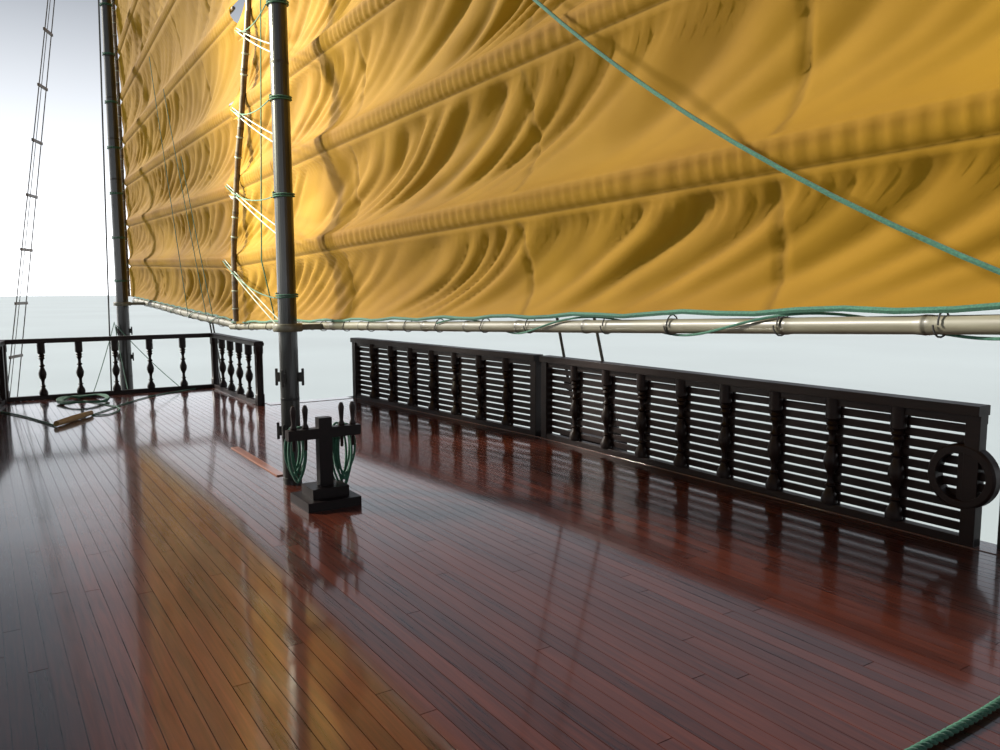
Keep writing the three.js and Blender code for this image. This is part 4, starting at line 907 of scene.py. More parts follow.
LACE_DROP = 0.56
for rig in (MAIN, FORE):
    white, green = Bench(), Bench()
    for i in range(1, len(rig.rows) - 1):
        tip = rig.spot(i, 0.004) + (0, BATTEN_OUT, 0)
        low = tip[2] - LACE_DROP
        reach = mast_radius(rig, low) + 0.012
        if rig is MAIN:
            for strand in (-1, 1):
                end = (rig.mast_x + reach * 0.8, -reach * 0.6, low + 0.03 * strand)
                white.rod(hang(tip + (0, 0.02, 0.012 * strand), end, 0.02), 0.0045, 6)
        green.rod(hang(tip + (0.0, 0.028, -0.01), (rig.mast_x + 0.02, reach, low + 0.25), 0.06), 0.004, 6)
        ring_turns(green, rig, low + 0.25, 0.03, 2.2, 0.005)
        for turn in range(3):
            x = tip[0] - 0.02 - 0.014 * turn
            white.turned([(BATTEN_RADIUS, 0), (BATTEN_RADIUS + 0.007, 0.004), (BATTEN_RADIUS, 0.010)],
                         (x, tip[1], tip[2]), 12, 0.5, (1, 0, 0))
    for i in range(len(rig.rows) - 1):
        foot, head = (rig.spot(k, rig.pole_share(k)) + (0, POLE_OUT, 0) for k in (i, i + 1))
        for share in (0.25, 0.5, 0.75):
            tie = [(POLE_RADIUS + 0.001, 0), (POLE_RADIUS + 0.006, 0.006), (POLE_RADIUS + 0.001, 0.014)]
            white.turned(tie, foot + (head - foot) * share, 12, 0.4, head - foot)
    white.piece(f"{rig.name}_lacing", white_cord, f"{rig.name}_sail_set", "rope")
    green.piece(f"{rig.name}_mast_turns", green_rope, f"{rig.name}_sail_set", "rope")

# %% Foot ropes, loose lines and the rope across the main sail
FOOT_POINTS = 60
for rig in (MAIN, FORE):
    lines, ties = Bench(), Bench()
    foot = np.array([rig.spot(0, share) + (0, 0.016, rig.boom_radius + 0.012)
                     for share in np.linspace(0.01, 0.985, FOOT_POINTS)])
    foot[:, 2] += 0.006 * np.sin(np.arange(FOOT_POINTS) * 1.7)
    lines.rod(foot, 0.009, 6)
    width = rig.rows[0][0] + rig.rows[0][2]
    for share in np.arange(0.03, 0.97, 0.40 / width):
        centre = rig.spot(0, share + rng.uniform(-0.006, 0.006))
        angle = np.linspace(0, 2 * math.pi, 16)
        reach = rig.boom_radius + 0.003 + 0.006 * np.clip(np.sin(angle), 0, 1) ** 4
        ties.rod(centre + np.stack([np.linspace(-0.006, 0.006, 16), reach * np.cos(angle),
                                    reach * np.sin(angle)], axis=1), 0.0025, 5)
    wound = np.linspace(0.45, 0.97, 260)
    spiral = np.array([rig.spot(0, share) for share in wound])
    turn = 2 * math.pi * wound * width / 0.95
    spiral[:, 1] += (rig.boom_radius + 0.005) * np.cos(turn)
    spiral[:, 2] += (rig.boom_radius + 0.005) * np.sin(turn)
    lines.rod(spiral, 0.004, 6)
    if rig is MAIN:
        lines.rod(hang((4.29, -0.13, SUNDECK_Z + 3.42), (4.5, -0.13, SUNDECK_Z + 1.47), 0.0), 0.005, 6)
        lines.rod(hang((4.5, -0.13, SUNDECK_Z + 1.47), (4.45, -0.2, SUNDECK_Z + 1.04), 0.0), 0.005, 6)
        lines.rod(hang((2.75, -0.12, SUNDECK_Z + 3.95), (-0.85, -0.12, SUNDECK_Z + 1.2), 0.33, 24), 0.0065, 6)
    else:
        for x, top, end in ((7.3, 2.6, 6.35), (8.0, 3.4, 6.6), (8.7, 3.9, 7.4)):
            lines.rod(hang((x, -0.19, SUNDECK_Z + top), (end, -0.21, SUNDECK_Z + 1.0), 0.02), 0.004, 6)
    lines.piece(f"{rig.name}_sail_lines", green_rope, f"{rig.name}_sail_set", "rope")
    ties.piece(f"{rig.name}_boom_ties", tarred_rope, f"{rig.name}_sail_set", "rope")

# %% [markdown]
# ## Rigging that stands still
# The port shrouds of the foremast carry wooden rungs, so they are a ladder. Iron bands and cleats dress the
# masts, coils hang from the pins, and a few loose ropes lie on the deck. The thickest is laid of three
# strands wound round each other. Each is small, but together they say that the ship is in use.

# %% The ladder to the foremast's head
LADDER_FOOT, LADDER_HEAD = np.array([10.65, 1.60, 1.56]), np.array([10.33, 0.065, 12.30])
RUNG = {"half": 0.20, "turn": -0.4, "pitch": 0.68, "first": 0.4, "tall": 0.036, "thick": 0.012}
ladder, rungs = Bench(), Bench()
rung_way = np.array([math.cos(RUNG["turn"]), math.sin(RUNG["turn"]), 0])
for k in (-1, 1):
    foot = LADDER_FOOT + rung_way * k * RUNG["half"]
    head = LADDER_HEAD + rung_way * k * 0.05
    ladder.rod(hang(foot, head, 0.0, 30), 0.007, 6)
    eye = [(0, -0.05), (0.035, -0.045), (0.05, 0), (0.035, 0.045), (0, 0.05)]
    ladder.turned(eye, foot - (0, 0, 0.01), 14)
ladder.rod(hang(LADDER_FOOT + (0.0, 0.03, 0), LADDER_HEAD, 0.0, 30), 0.005, 6)
z = LADDER_FOOT[2] + RUNG["first"]
while z < LADDER_HEAD[2] - 0.6:
    share = (z - LADDER_FOOT[2]) / (LADDER_HEAD[2] - LADDER_FOOT[2])
    centre = LADDER_FOOT + (LADDER_HEAD - LADDER_FOOT) * share
    half = RUNG["half"] * (1 - share) + 0.05 * share + 0.03
    rungs.board((-half, -RUNG["thick"], -RUNG["tall"] / 2), (half, RUNG["thick"], RUNG["tall"] / 2),
                rng.uniform(0.3, 0.7), RUNG["turn"], centre)
    z += RUNG["pitch"]
ladder.board((10.32, 1.555, 1.40), (10.97, 1.645, 1.585))
ladder.board((10.26, 0.052, 12.275), (10.40, 0.072, 12.325))
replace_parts(ladder.piece("fore_ladder_ropes", tarred_rope, slot="rope", bevel=0.003), "fore_shroud_port")
rungs.piece("fore_ladder_rungs", old_bamboo, bevel=0.002)

# %% Bands and cleats on the masts
def band(bench, rig, z, tall, proud, tone=0.4):
    """An iron band round a mast."""
    r = mast_radius(rig, z) - 0.002
    rim = [(r, 0), (r + proud, 0.003), (r + proud, tall - 0.003), (r, tall)]
    bench.turned(rim, (rig.mast_x, 0, z), 28, tone)


bands, fittings = Bench(), Bench()
for rig, low, high in ((MAIN, 3.63, 14.0), (FORE, 1.6, 12.6)):
    for z in np.arange(low, high, 0.52):
        if all(abs(z - spot) > 0.12 for spot in (rig.rows[0][1] + SUNDECK_Z + 0.02, *[
                SUNDECK_Z + row[1] + (row[3] - row[1]) * row[0] / (row[0] + row[2]) for row in rig.rows])):
            band(bands, rig, z, 0.022, 0.003)
    for z in (high - 0.6, high - 0.35):
        band(bands, rig, z, 0.05, 0.008)
    for turn in (0.9, 2.3, 4.2):
        for z in (3.95, 4.3):
            r = mast_radius(rig, z)
            x, y = rig.mast_x + (r + 0.012) * math.cos(turn), (r + 0.012) * math.sin(turn)
            fittings.board((-0.014, -0.010, -0.03), (0.010, 0.010, 0.03), 0.4, turn, (x, y, z))
            fittings.board((0.006, -0.007, -0.055), (0.022, 0.007, 0.055), 0.5, turn, (x, y, z))
bands.piece("mast_bands", black_iron, slot="iron", bevel=0.001)
fittings.piece("mast_cleats", black_iron, slot="iron", bevel=0.003)

# %% Pins, coils and loose ropes on the sundeck
PIN_RAIL_X, COIL_TOP = 2.975, SUNDECK_Z + 0.46
DECK_TOP = SUNDECK_Z + PLANK["rise"]
loose, pins, pale = Bench(), Bench(), Bench()
PIN = [(0, -0.13), (0.009, -0.125), (0.011, -0.01), (0.019, 0.0), (0.019, 0.012), (0.011, 0.03),
       (0.015, 0.08), (0.018, 0.11), (0.010, 0.135), (0, 0.138)]
for y in (-0.18, -0.11, 0.11, 0.18):
    pins.turned(PIN, (PIN_RAIL_X, y, SUNDECK_Z + 0.4615), 12, 0.6)


def coil(bench, centre, half_wide, drop, loops, radius):
    """A coil of rope hanging over a pin: loops side by side, each a long drop."""
    for k in range(loops):
        t = np.linspace(0, 2 * math.pi, 40)
        sway = rng.uniform(-0.02, 0.02, 3)
        wide, down = half_wide * rng.uniform(0.7, 1.1), drop * rng.uniform(0.85, 1.1)
        x = centre[0] + 0.012 * (k - loops / 2) + sway[0] * np.sin(t / 2)
        y = centre[1] + wide * np.sin(t) * (1 - 0.5 * np.exp(-((t - math.pi) / 0.9) ** 2)) + sway[1]
        bench.rod(np.stack([x, y, centre[2] - down * (1 - np.cos(t)) / 2], axis=1), radius, 6)


coil(loose, (PIN_RAIL_X + 0.075, -0.14, COIL_TOP), 0.06, 0.36, 7, 0.007)
coil(loose, (PIN_RAIL_X + 0.075, 0.14, COIL_TOP), 0.05, 0.30, 5, 0.007)
HEAP_AT, HEAP_POINTS = (8.62, 0.72), 90
heap_points = []
for k in range(HEAP_POINTS):
    angle, reach = k * 0.75, 0.12 + 0.17 * abs(math.sin(k * 0.37))
    heap_points.append((HEAP_AT[0] + 1.5 * reach * math.cos(angle), HEAP_AT[1] + reach * math.sin(angle),
                        DECK_TOP + 0.012 + 0.03 * abs(math.sin(k * 1.13))))
loose.rod(smooth_path(heap_points, 0.05), 0.009, 6)
HANDLE = ((6.85, 1.1), (7.4, 0.75))
pale.rod([(x, y, DECK_TOP + 0.03) for x, y in (HANDLE[0], np.mean(HANDLE, axis=0), HANDLE[1])],
         [0.026, 0.030, 0.022], 14, 0.1)
LOOSE_LINES = [
    ([(8.15, 1.5), (7.6, 1.3), (6.85, 1.1)], 0.008),
    ([(7.4, 0.75), (7.35, 0.6), (7.8, 0.45), (8.6, 0.7)], 0.006),
    ([(7.4, 0.75), (8.5, 0.05), (9.0, -0.6)], 0.006),
]
for route, radius in LOOSE_LINES:
    loose.rod(smooth_path([(x, y, DECK_TOP + radius + 0.001) for x, y in route], 0.06), radius, 6)
THICK_ROPE = [(-0.35, -0.1), (-0.35, -0.9), (-0.25, -1.3), (0.1, -2.1)]
loose.rope(smooth_path([(x, y, DECK_TOP + 0.015) for x, y in THICK_ROPE], 0.05), 0.013, 0.08, 3, 8)
for a, b in (((10.30, 0.115, 4.42), (8.98, 0.55, 3.66)), ((10.30, 0.112, 4.40), (9.0, 0.18, 3.66)),
             ((10.28, 0.1, 4.38), (9.0, -0.4, 3.66))):
    loose.rod(hang(a, b, 0.03, 10), 0.005, 6)
loose.piece("loose_ropes", green_rope, slot="rope")
GATE_ROD = (0.37, -2.40)
gate = Bench()
gate.rod([(*GATE_ROD, z) for z in (SUNDECK_Z - 0.002, SUNDECK_Z + 0.3, SUNDECK_Z + 0.6)], 0.012, 10)
gate.piece("gate_rod", black_iron, slot="iron")
walk = Bench()
walk.board((3.80, -0.03, SUNDECK_Z + 0.002), (4.95, 0.03, SUNDECK_Z + 0.014), 0.9)
walk.piece("king_plank", house_varnish, slot="deck_wood", bevel=0.003)
pins.piece("belaying_pins", dark_varnish)
pale.piece("wooden_handle", bare_wood, slot="bamboo")

# %% [markdown]
# ## The hull's planking
# A wooden hull is a skin of long strakes that follow its curves, with a groove between each two. The hull's
# shape is a table of stations joined by smooth curves, so a point at any length and height of the side can
# be worked out, and each strake is a strip of such points that stands about a centimetre proud.

# %% The hull's shape
STATIONS = np.array([
    # x, half beam, underside, deck, bulwark top, bilge
    (-14.0, 2.15, 0.18, 1.30, 4.05, 0.62), (-13.0, 2.33, -0.06, 1.30, 3.40, 0.58),
    (-10.5, 2.68, -0.62, 1.30, 2.52, 0.55), (-7.0, 2.95, -1.05, 1.30, 2.11, 0.52),
    (-2.0, 3.10, -1.25, 1.30, 2.02, 0.50), (3.0, 3.00, -1.25, 1.30, 2.02, 0.52),
    (7.5, 2.50, -1.18, 1.30, 2.14, 0.60), (10.5, 1.83, -0.90, 1.48, 2.42, 0.72),
    (12.5, 1.23, -0.33, 1.72, 2.64, 0.85), (14.0, 0.72, 0.52, 1.95, 2.86, 0.95)])
HULL_END, DECK_Z, RAKE_LENGTH, RAKE_BOW, RAKE_STERN, FLARE = 14.0, 1.3, 5.0, 0.35, -0.25, 0.06


def curve_slopes(xs, values):
    """Slopes of a smooth curve through the stations that never overshoots them."""
    chords = np.diff(values) / np.diff(xs)
    slopes = np.zeros(len(xs))
    for i in range(1, len(xs) - 1):
        if chords[i - 1] * chords[i] > 0:
            slopes[i] = 2 * chords[i - 1] * chords[i] / (chords[i - 1] + chords[i])
    slopes[0] = 1.5 * chords[0] - 0.5 * slopes[1]
    slopes[-1] = 1.5 * chords[-1] - 0.5 * slopes[-2]
    return slopes


SLOPES = {c: curve_slopes(STATIONS[:, 0], STATIONS[:, c]) for c in range(1, 6)}
BEAM, UNDER, DECK, TOP, BILGE = range(1, 6)


def hull_value(column, x):
    xs, values, slopes = STATIONS[:, 0], STATIONS[:, column], SLOPES[column]
    i = int(np.clip(np.searchsorted(xs, x) - 1, 0, len(xs) - 2))
    h = xs[i + 1] - xs[i]
    t = float(np.clip((x - xs[i]) / h, 0, 1))
    return ((2 * t ** 3 - 3 * t ** 2 + 1) * values[i] + (t ** 3 - 2 * t ** 2 + t) * h * slopes[i]
            + (3 * t ** 2 - 2 * t ** 3) * values[i + 1] + (t ** 3 - t ** 2) * h * slopes[i + 1])


def raked(x, z):
    """Shears the ends: the bow leans forward and the stern aft."""
    share = max(0.0, (abs(x) - HULL_END + RAKE_LENGTH) / RAKE_LENGTH) ** 2
    return x + (RAKE_BOW if x > 0 else RAKE_STERN) * share * (z - DECK_Z)


def side_point(x, turn, proud, side):
    """A point of the hull's side: turn 0 is its bottom and a quarter turn its deck edge."""
    deck, under = hull_value(DECK, x), hull_value(UNDER, x)
    y = hull_value(BEAM, x) * math.sin(turn) ** hull_value(BILGE, x)
    z = deck - (deck - under) * math.cos(turn)
    lean = math.atan2(math.sin(turn), math.cos(turn) * 1.3)
    return raked(x, z), side * (y + proud * math.sin(lean)), z - proud * math.cos(lean)


# %% Strakes below and above the deck's edge
HULL_XS = np.linspace(-HULL_END + 0.02, HULL_END - 0.02, 85)
STRAKES, TOP_STRAKES, STRAKE_PROUD, GROOVE, FLUSH = 15, 4, 0.012, 0.06, 0.001

for name, side in (("port", 1), ("starboard", -1)):
    strakes = Bench()
    for k in range(STRAKES):
        turns = [(k + share) / STRAKES * math.pi / 2 for share in (0.0, GROOVE, 0.5, 1 - GROOVE, 1.0)]
        tone = rng.uniform(0.1, 0.8)
        prouds = (FLUSH, STRAKE_PROUD, STRAKE_PROUD + 0.003, STRAKE_PROUD, FLUSH)
        rows = [[side_point(x, max(turn, 0.03), proud, side) for turn, proud in zip(turns, prouds)]
                for x in HULL_XS]
        strakes.skin(rows, tone)
    for k in range(TOP_STRAKES):
        rows = []
        for x in HULL_XS:
            foot, shelf = hull_value(DECK, x) + 0.01, hull_value(TOP, x) - 0.06
            line = []
            for share, proud in ((0.0, FLUSH), (GROOVE, STRAKE_PROUD), (1 - GROOVE, STRAKE_PROUD),
                                 (1.0, FLUSH)):
                z = foot + (shelf - foot) * (k + share) / TOP_STRAKES
                line.append((raked(x, z), side * (hull_value(BEAM, x) + FLARE * (z - foot) + proud), z))
            rows.append(line)
        strakes.skin(rows, rng.uniform(0.2, 0.9))
    strakes.piece(f"strakes_{name}", hull_oil, slot="hull_wood", angle=25)

# %% Timbers and cap strips of the bulwarks
TRIM_END, TIMBER_PITCH = 13.85, 0.85
TIMBER_FACES = [(0, 1, 2, 3), (7, 6, 5, 4), (0, 4, 5, 1), (1, 5, 6, 2), (2, 6, 7, 3), (3, 7, 4, 0)]
for name, side in (("port", 1), ("starboard", -1)):
    timbers = Bench()
    for x in np.arange(-13.2, 13.3, TIMBER_PITCH):
        foot, shelf = hull_value(DECK, x) + 0.01, hull_value(TOP, x) - 0.062
        points = []
        for z in (foot, shelf):
            inner = side * (hull_value(BEAM, x) + FLARE * (z - foot) - 0.08)
            points += [(raked(x + dx, z), inner - side * dy, z) for dx, dy in
                       ((-0.035, -0.01), (0.035, -0.01), (0.035, 0.05), (-0.035, 0.05))]
        timbers.add(points, TIMBER_FACES, rng.uniform(0.2, 0.8))
    timbers.piece(f"bulwark_timbers_{name}", hull_oil, slot="hull_wood", bevel=0.004)
    cap = Bench()
    rows = []
    for x in np.linspace(-TRIM_END, TRIM_END, 80):
        top, foot = hull_value(TOP, x), hull_value(DECK, x) + 0.01
        middle = hull_value(BEAM, x) + FLARE * (top - foot) - 0.04
        rows.append([(raked(x, top), side * (middle + dy), top + dz) for dy, dz in
                     ((-0.085, 0.001), (-0.075, 0.014), (0.075, 0.014), (0.085, 0.001))])
    cap.skin(rows, 0.6)
    cap.piece(f"cap_strip_{name}", dark_varnish, angle=25)

# %% [markdown]
# ## Main deck, bow and stern
# The main deck is laid like the sundeck, in plain oiled boards. Its surface rises towards the bow, so each
# board is a strip of points that follows it. The flat ends of the hull get level boards and, near their
# top, two rounded mouldings, and stay blank.

# %% Boards of the main deck
MAIN_PLANK, DECK_STEPS, PLANKS_BESIDE = 0.14, 26, 19
ring_xs = -HULL_END + np.arange(DECK_STEPS + 1) * 2 * HULL_END / DECK_STEPS
main_deck = Bench()
for k in range(-PLANKS_BESIDE, PLANKS_BESIDE + 1):
    y = (k + 0.5) * MAIN_PLANK
    inside = [x for x in np.linspace(-TRIM_END, TRIM_END, 300) if abs(y) + 0.07 < hull_value(BEAM, x) - 0.09]
    if not inside:
        continue
    stops = sorted({inside[0], inside[-1], *[x for x in ring_xs if inside[0] < x < inside[-1]]})
    rows = []
    for x in stops:
        z = float(np.interp(x, ring_xs, [hull_value(DECK, r) for r in ring_xs]))
        rows.append([(raked(x, z), y + dy, z + dz) for dy, dz in
                     ((-0.068, 0.001), (-0.064, 0.007), (0.064, 0.007), (0.068, 0.001))])
    main_deck.skin(rows, rng.uniform(0.1, 0.9))
main_deck.piece("main_deck_planks", hull_oil, slot="hull_wood", angle=25)

# %% Boards and mouldings on the flat bow and stern
END_BOARD, END_SEAM = 0.19, 0.004
for name, end, crown, board_z in (("bow", 13.999, 0.09, 0.55), ("stern", -13.999, 0.42, 0.25)):
    boards = Bench()
    foot, top = hull_value(DECK, end), hull_value(TOP, end) + 0.05
    outward = math.copysign(1, end)
    z = board_z
    while z < top + crown:
        high = min(z + END_BOARD, top + crown - 0.02)
        half, levels = [], (z + END_SEAM, high - END_SEAM)
        for level in levels:
            if level < foot:
                turn = math.acos(min(1, (foot - level) / (foot - hull_value(UNDER, end))))
                reach = hull_value(BEAM, end) * max(0.02, math.sin(turn)) ** hull_value(BILGE, end)
            else:
                reach = hull_value(BEAM, end) + FLARE * (level - foot)
                over = max(0.0, (level - top) / crown)
                reach = reach * math.sqrt(max(0.0, 1 - over))
            half.append(max(0.05, reach - 0.05))
        ring = [(side * half[k], levels[k]) for side, k in ((-1, 0), (1, 0), (1, 1), (-1, 1))]
        if high > z + 0.03:
            boards.rings([[(raked(end, w) + outward * dx, y, w) for y, w in ring] for dx in (-0.004, 0.012)],
                         rng.uniform(0.1, 0.9))
        z += END_BOARD
    boards.piece(f"{name}_boards", hull_oil, slot="hull_wood", bevel=0.004)
    moulding = Bench()
    for lift in (0.0, -0.16):
        line = []
        for share in np.linspace(-1, 1, 33):
            reach = hull_value(BEAM, end) + FLARE * (top - foot) - 0.04 + lift
            level = top + crown * (1 - share ** 2) - 0.05 + lift
            line.append((raked(end, level) + outward * 0.014, share * reach, level))
        moulding.rod(line, 0.026 if lift else 0.036, 10, 0.3)
    moulding.piece(f"{name}_moulding", dark_varnish)

# %% [markdown]
# ## The deckhouse
# The cabin walls are tongued boards between a sill and a head moulding, with framed windows. Frames and
# door panels stand a little proud and the glass is set back, so that every opening has a shadow line. The
# glass is a plain dark glaze, as panes look by day, and can't be seen through.

# %% Wall boards and window frames
HOUSE = {"front": 7.10, "back": -9.00, "half": 2.00, "foot": 1.3105, "head": 3.47}
WINDOW = {"sill": 2.15, "head": 2.95}
SIDE_WINDOWS = [(-7.40 + 1.75 * i, -6.50 + 1.75 * i) for i in range(8)]
FRONT_WINDOWS, FRONT_DOOR = [(-1.65, -0.85), (-0.70, 0.10)], (0.60, 1.40)
BACK_WINDOWS, BACK_DOOR = [(-1.55, -0.85), (0.85, 1.55)], (-0.40, 0.40)
DOORWAY_HEAD = HOUSE["foot"] + 0.06 + 1.85
HINGE_ROOM = 0.022
SIDE_RUN, END_RUN = (HOUSE["back"], HOUSE["front"]), (-1.93, 1.93)
FACES = {
    "port": (HOUSE["half"], SIDE_RUN, SIDE_WINDOWS, None),
    "starboard": (-HOUSE["half"], SIDE_RUN, SIDE_WINDOWS, None),
    "front": (HOUSE["front"], END_RUN, FRONT_WINDOWS, FRONT_DOOR),
    "back": (HOUSE["back"], END_RUN, BACK_WINDOWS, BACK_DOOR)}
boards, frames, glass = Bench(), Bench(), Bench()


def on_wall(bench, face, a, b, z0, z1, proud0, proud1, tone):
    """A board on a wall's outer face: from a to b along the wall, z0 to z1, and proud0 to proud1 off it."""
    place = FACES[face][0]
    out = math.copysign(1, place)
    off = sorted((place + out * proud0, place + out * proud1))
    if face in ("port", "starboard"):
        bench.board((a, off[0], z0), (b, off[1], z1), tone)
    else:
        bench.board((off[0], a, z0), (off[1], b, z1), tone)


TONGUE = 0.115
for face, (_, (start, stop), windows, door) in FACES.items():
    sill, lintel = WINDOW["sill"], WINDOW["head"]
    openings = [(a, b, sill, lintel) for a, b in windows]
    openings += [(*door, HOUSE["foot"], DOORWAY_HEAD)] if door else []
    count = round((stop - start) / TONGUE)
    for k in range(count):
        a, b = (start + (stop - start) * (k + s) / count for s in (0, 1))
        spans = [(HOUSE["foot"] + 0.1, HOUSE["head"] - 0.07)]
        for low_a, high_b, z0, z1 in openings:
            if a < high_b + 0.02 and b > low_a - 0.02:
                spans = [part for s0, s1 in spans for part in ((s0, min(s1, z0)), (max(s0, z1), s1))
                         if part[1] > part[0] + 0.02]
        for z0, z1 in spans:
            on_wall(boards, face, a + 0.003, b - 0.003, z0, z1, -0.001, 0.009, rng.uniform(0.1, 0.8))
    on_wall(frames, face, start, stop, HOUSE["head"] - 0.08, HOUSE["head"], 0, 0.035, 0.4)
    lower = [(start, stop)] if not door else [(start, door[0] - 0.07), (door[1] + 0.07, stop)]
    for a, b in lower:
        on_wall(frames, face, a, b, HOUSE["foot"] + 0.01, HOUSE["foot"] + 0.11, 0, 0.025, 0.4)
    for a, b in windows:
        for z0, z1 in ((sill - 0.06, sill), (lintel, lintel + 0.06)):
            on_wall(frames, face, a - 0.07, b + 0.07, z0, z1, 0, 0.032, 0.5)
        for x0, x1 in ((a - 0.06, a), (b, b + 0.06)):
            on_wall(frames, face, x0, x1, sill, lintel, 0, 0.026, 0.5)
        on_wall(frames, face, a - 0.09, b + 0.09, sill - 0.085, sill - 0.06, 0, 0.06, 0.4)
        middle = (a + b) / 2
        on_wall(frames, face, middle - 0.02, middle + 0.02, sill, lintel, -0.045, -0.015, 0.4)
        on_wall(frames, face, a, b, lintel - 0.26, lintel - 0.225, -0.044, -0.016, 0.4)
        on_wall(glass, face, a, b, sill, lintel, -0.034, -0.028, 0.5)
    if door:
        a, b = door
        for x0, x1 in ((a - 0.09, a - 0.01), (b + HINGE_ROOM, b + 0.09)):
            on_wall(frames, face, x0, x1, HOUSE["foot"] + 0.01, DOORWAY_HEAD + 0.09, 0, 0.012, 0.5)
        on_wall(frames, face, a - 0.01, b + 0.01, DOORWAY_HEAD + 0.012, DOORWAY_HEAD + 0.09, 0, 0.012, 0.5)
boards.piece("house_boards", house_varnish, slot="house_wood", bevel=0.002)
frames.piece("window_frames", dark_varnish, bevel=0.003)

dark_glass = Finish("dark_glass", roughness=0.03, coat=1.0)
dark_glass.finish(dark_glass.ramp(dark_glass.noise(0.8, 2), (0.3, (0.02, 0.035, 0.04)),
                                  (0.7, (0.04, 0.06, 0.065))))
glass.piece("window_glass", dark_glass.material, bevel=0.001)

# %% Panels and knobs on the doors
KNOB = [(0, 0), (0.028, 0), (0.028, 0.004), (0.010, 0.008), (0.010, 0.03), (0.022, 0.038), (0.026, 0.05),
        (0.018, 0.06), (0, 0.062)]
for name, out in (("front", 1), ("back", -1)):
    place, _, _, (a, b) = FACES[name]
    panels, knob = Bench(), Bench()
    z0, z1, middle = HOUSE["foot"] + 0.066, DOORWAY_HEAD - 0.006, (a + b) / 2

    def leaf(bench, y0, y1, low, high, proud, tone):
        xs = sorted((place - out * 0.002, place + out * proud))
        bench.board((xs[0], y0, low), (xs[1], y1, high), tone)

    for low, high in ((z0 + 0.06, z0 + 0.46), (z0 + 0.52, z1 - 0.92)):
        for y0, y1 in ((a + 0.26, middle - 0.02), (middle + 0.02, b - 0.26)):
            leaf(panels, y0, y1, low, high, 0.008, rng.uniform(0.2, 0.8))
    for y0, y1, low, high in ((-0.25, 0.25, 0.88, 0.852), (-0.25, 0.25, 0.348, 0.32),
                              (-0.25, -0.222, 0.852, 0.348), (0.222, 0.25, 0.852, 0.348)):
        leaf(panels, middle + y0, middle + y1, z1 - low, z1 - high, 0.010, 0.3)
    knob.turned(KNOB, (place - out * 0.001, a + 0.07, z0 + 0.9), 18, 0.5, (out, 0, 0))
    panels.piece(f"door_{name}_panels", house_varnish, f"door_{name}", "house_wood", bevel=0.003)
    knob.piece(f"door_{name}_knob", dull_bronze, f"door_{name}", "bronze")

# %% [markdown]
# ## Under the sundeck, and the gear
# Beams show under the sundeck where it overhangs the cabin, and a moulding hides its edge. The anchors get
# rings and palms, the rudder gets iron straps, the windlass gets bands, and the shrouds of the main mast
# end in deadeyes.

# %% Beams and the sundeck's edge moulding
beams, edge = Bench(), Bench()
for x in [*np.arange(7.45, 9.3, 0.42), *np.arange(-12.3, -9.05, 0.42)]:
    half = sundeck_half(x) - 0.05
    low_y = STAIR_WELL["inner"] + 0.02 if x > STAIR_WELL["back"] else -half
    beams.board((x - 0.03, low_y, 3.385), (x + 0.03, half, 3.4795), rng.uniform(0.2, 0.7))
beams.piece("sundeck_beams", dark_varnish, bevel=0.004)
for z, out, r in ((3.585, 0.006, 0.014), (3.50, 0.004, 0.012)):
    for side in (1, -1):
        route = [(x, side * (half + out), z) for x, half in SUNDECK_EDGE if side == 1 or x < 9]
        if side == -1:
            route = [(well_side[0], well_side[1] - out, z)] + route
        edge.rod(route, r, 8, 0.4)
    edge.rod([(FRONT_X + out, FRONT_HALF, z), (FRONT_X + out, STAIR_WELL["inner"], z)], r, 8, 0.4)
    edge.rod([(STERN_X - out, STERN_HALF, z), (STERN_X - out, -STERN_HALF, z)], r, 8, 0.4)
edge.piece("sundeck_edge_moulding", dark_varnish)

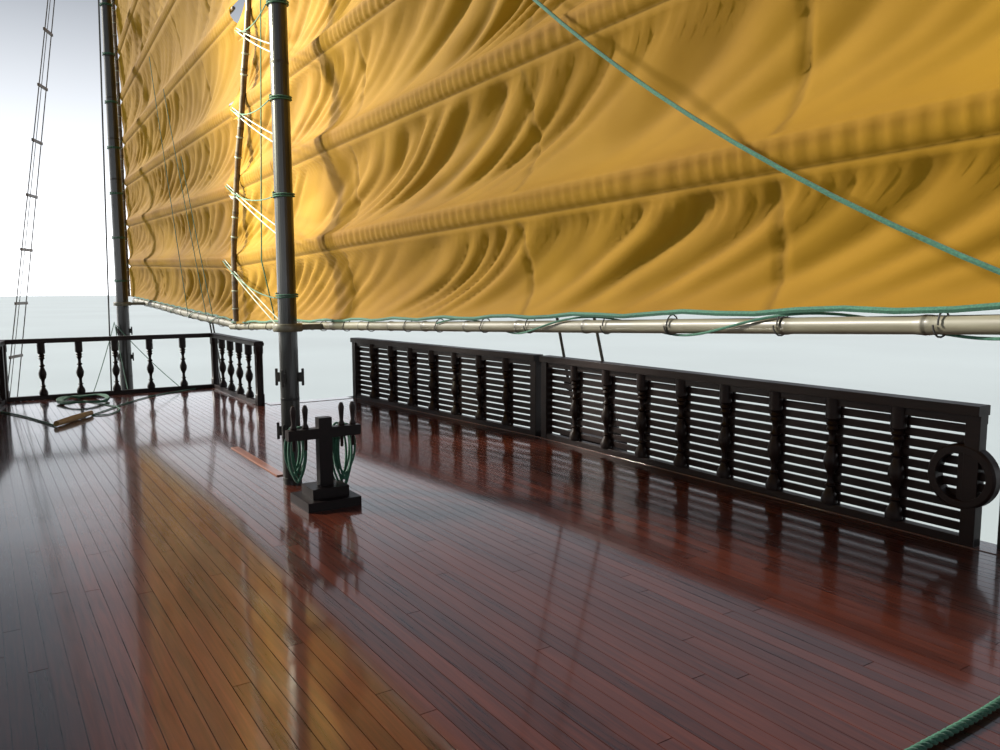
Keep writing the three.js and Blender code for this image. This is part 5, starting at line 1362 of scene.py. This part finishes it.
# %% Anchors, windlass, rudder straps and deadeyes
gear, straps, barrel_bands = Bench(), Bench(), Bench()
PALM = [(0, 0), (0.05, 0.01), (0.072, 0.05), (0.06, 0.10), (0.02, 0.15), (0, 0.16)]
RUDDER_STRAPS = ((-1.0, -14.93, -13.74), (-0.3, -15.22, -13.91), (0.35, -15.14, -14.07))
for z, back, front in RUDDER_STRAPS:
    for side in (1, -1):
        low, high = sorted((side * 0.0445, side * 0.056))
        straps.board((back, low, z - 0.035), (front, high, z + 0.035), 0.4)
straps.piece("rudder_straps", black_iron, "rudder", "iron", bevel=0.002)
for side in (1, -1):
    y = side * 0.52
    ring = [(12.08 + 0.09 * math.cos(t), y + 0.02 * math.sin(2 * t), 1.88 + 0.09 * math.sin(t))
            for t in np.arange(25) * math.pi / 12]
    gear.rod(ring, 0.012, 8)
    for way in (-1, 1):
        gear.turned(PALM, (12.80, y + way * 0.20, 1.88), 10, 0.5, (-0.9, way * 0.3, 0.1))
gear.piece("anchor_rings", black_iron, slot="iron")
WINDLASS_BAND = [(0.121, -0.012), (0.137, -0.012), (0.137, 0.012), (0.121, 0.012)]
for y in np.linspace(-0.30, 0.30, 3):
    barrel_bands.turned(WINDLASS_BAND, (11.7, y, 2.104), 24, 0.4, (0, 1, 0))
barrel_bands.piece("windlass_bands", black_iron, "windlass_barrel", "iron", bevel=0.001)
DEADEYE = [(0, -0.022), (0.038, -0.022), (0.048, -0.012), (0.050, 0), (0.048, 0.012), (0.038, 0.022),
           (0, 0.022)]
SHROUD_HEAD, half = 13.75, sundeck_half(MAIN.mast_x) + 0.15
eyes = Bench()
for side in (1, -1):
    for x in (3.30, 3.82):
        foot, head = Vector((x, side * half, SUNDECK_Z)), Vector((MAIN.mast_x, side * 0.06, SHROUD_HEAD))
        for share in (0.012, 0.045):
            spot = foot + (head - foot) * share
            eyes.turned(DEADEYE, spot, 18, 0.5, (0.05, side, 0.2))
        for dx in (-0.02, 0.0, 0.02):
            lanyard = [foot + (head - foot) * s + Vector((dx, side * 0.02, 0)) for s in (0.012, 0.045)]
            eyes.rod(lanyard, 0.004, 5)
eyes.piece("main_deadeyes", tarred_rope, slot="rope")
for name, side in (("port", 1), ("starboard", -1)):
    shrouds, channel = Bench(), Bench()
    head_y = side * 0.058
    for dx in (-0.26, 0.26):
        head = (MAIN.mast_x + 0.035 * math.copysign(1, dx), head_y, SHROUD_HEAD)
        shrouds.rod(hang((MAIN.mast_x + dx, side * half, 3.62), head, 0, 24), 0.012, 8)
    shrouds.board((3.49, head_y - 0.01, 13.725), (3.63, head_y + 0.01, 13.775))
    low, high = sorted((side * (half - 0.149), side * (half + 0.035)))
    channel.board((3.24, low, 3.50), (3.88, high, 3.655), 0.4)
    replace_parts(shrouds.piece(f"main_shroud_ropes_{name}", tarred_rope, slot="rope"), f"main_shroud_{name}")
    channel.piece(f"main_channel_{name}", dark_varnish, bevel=0.006)
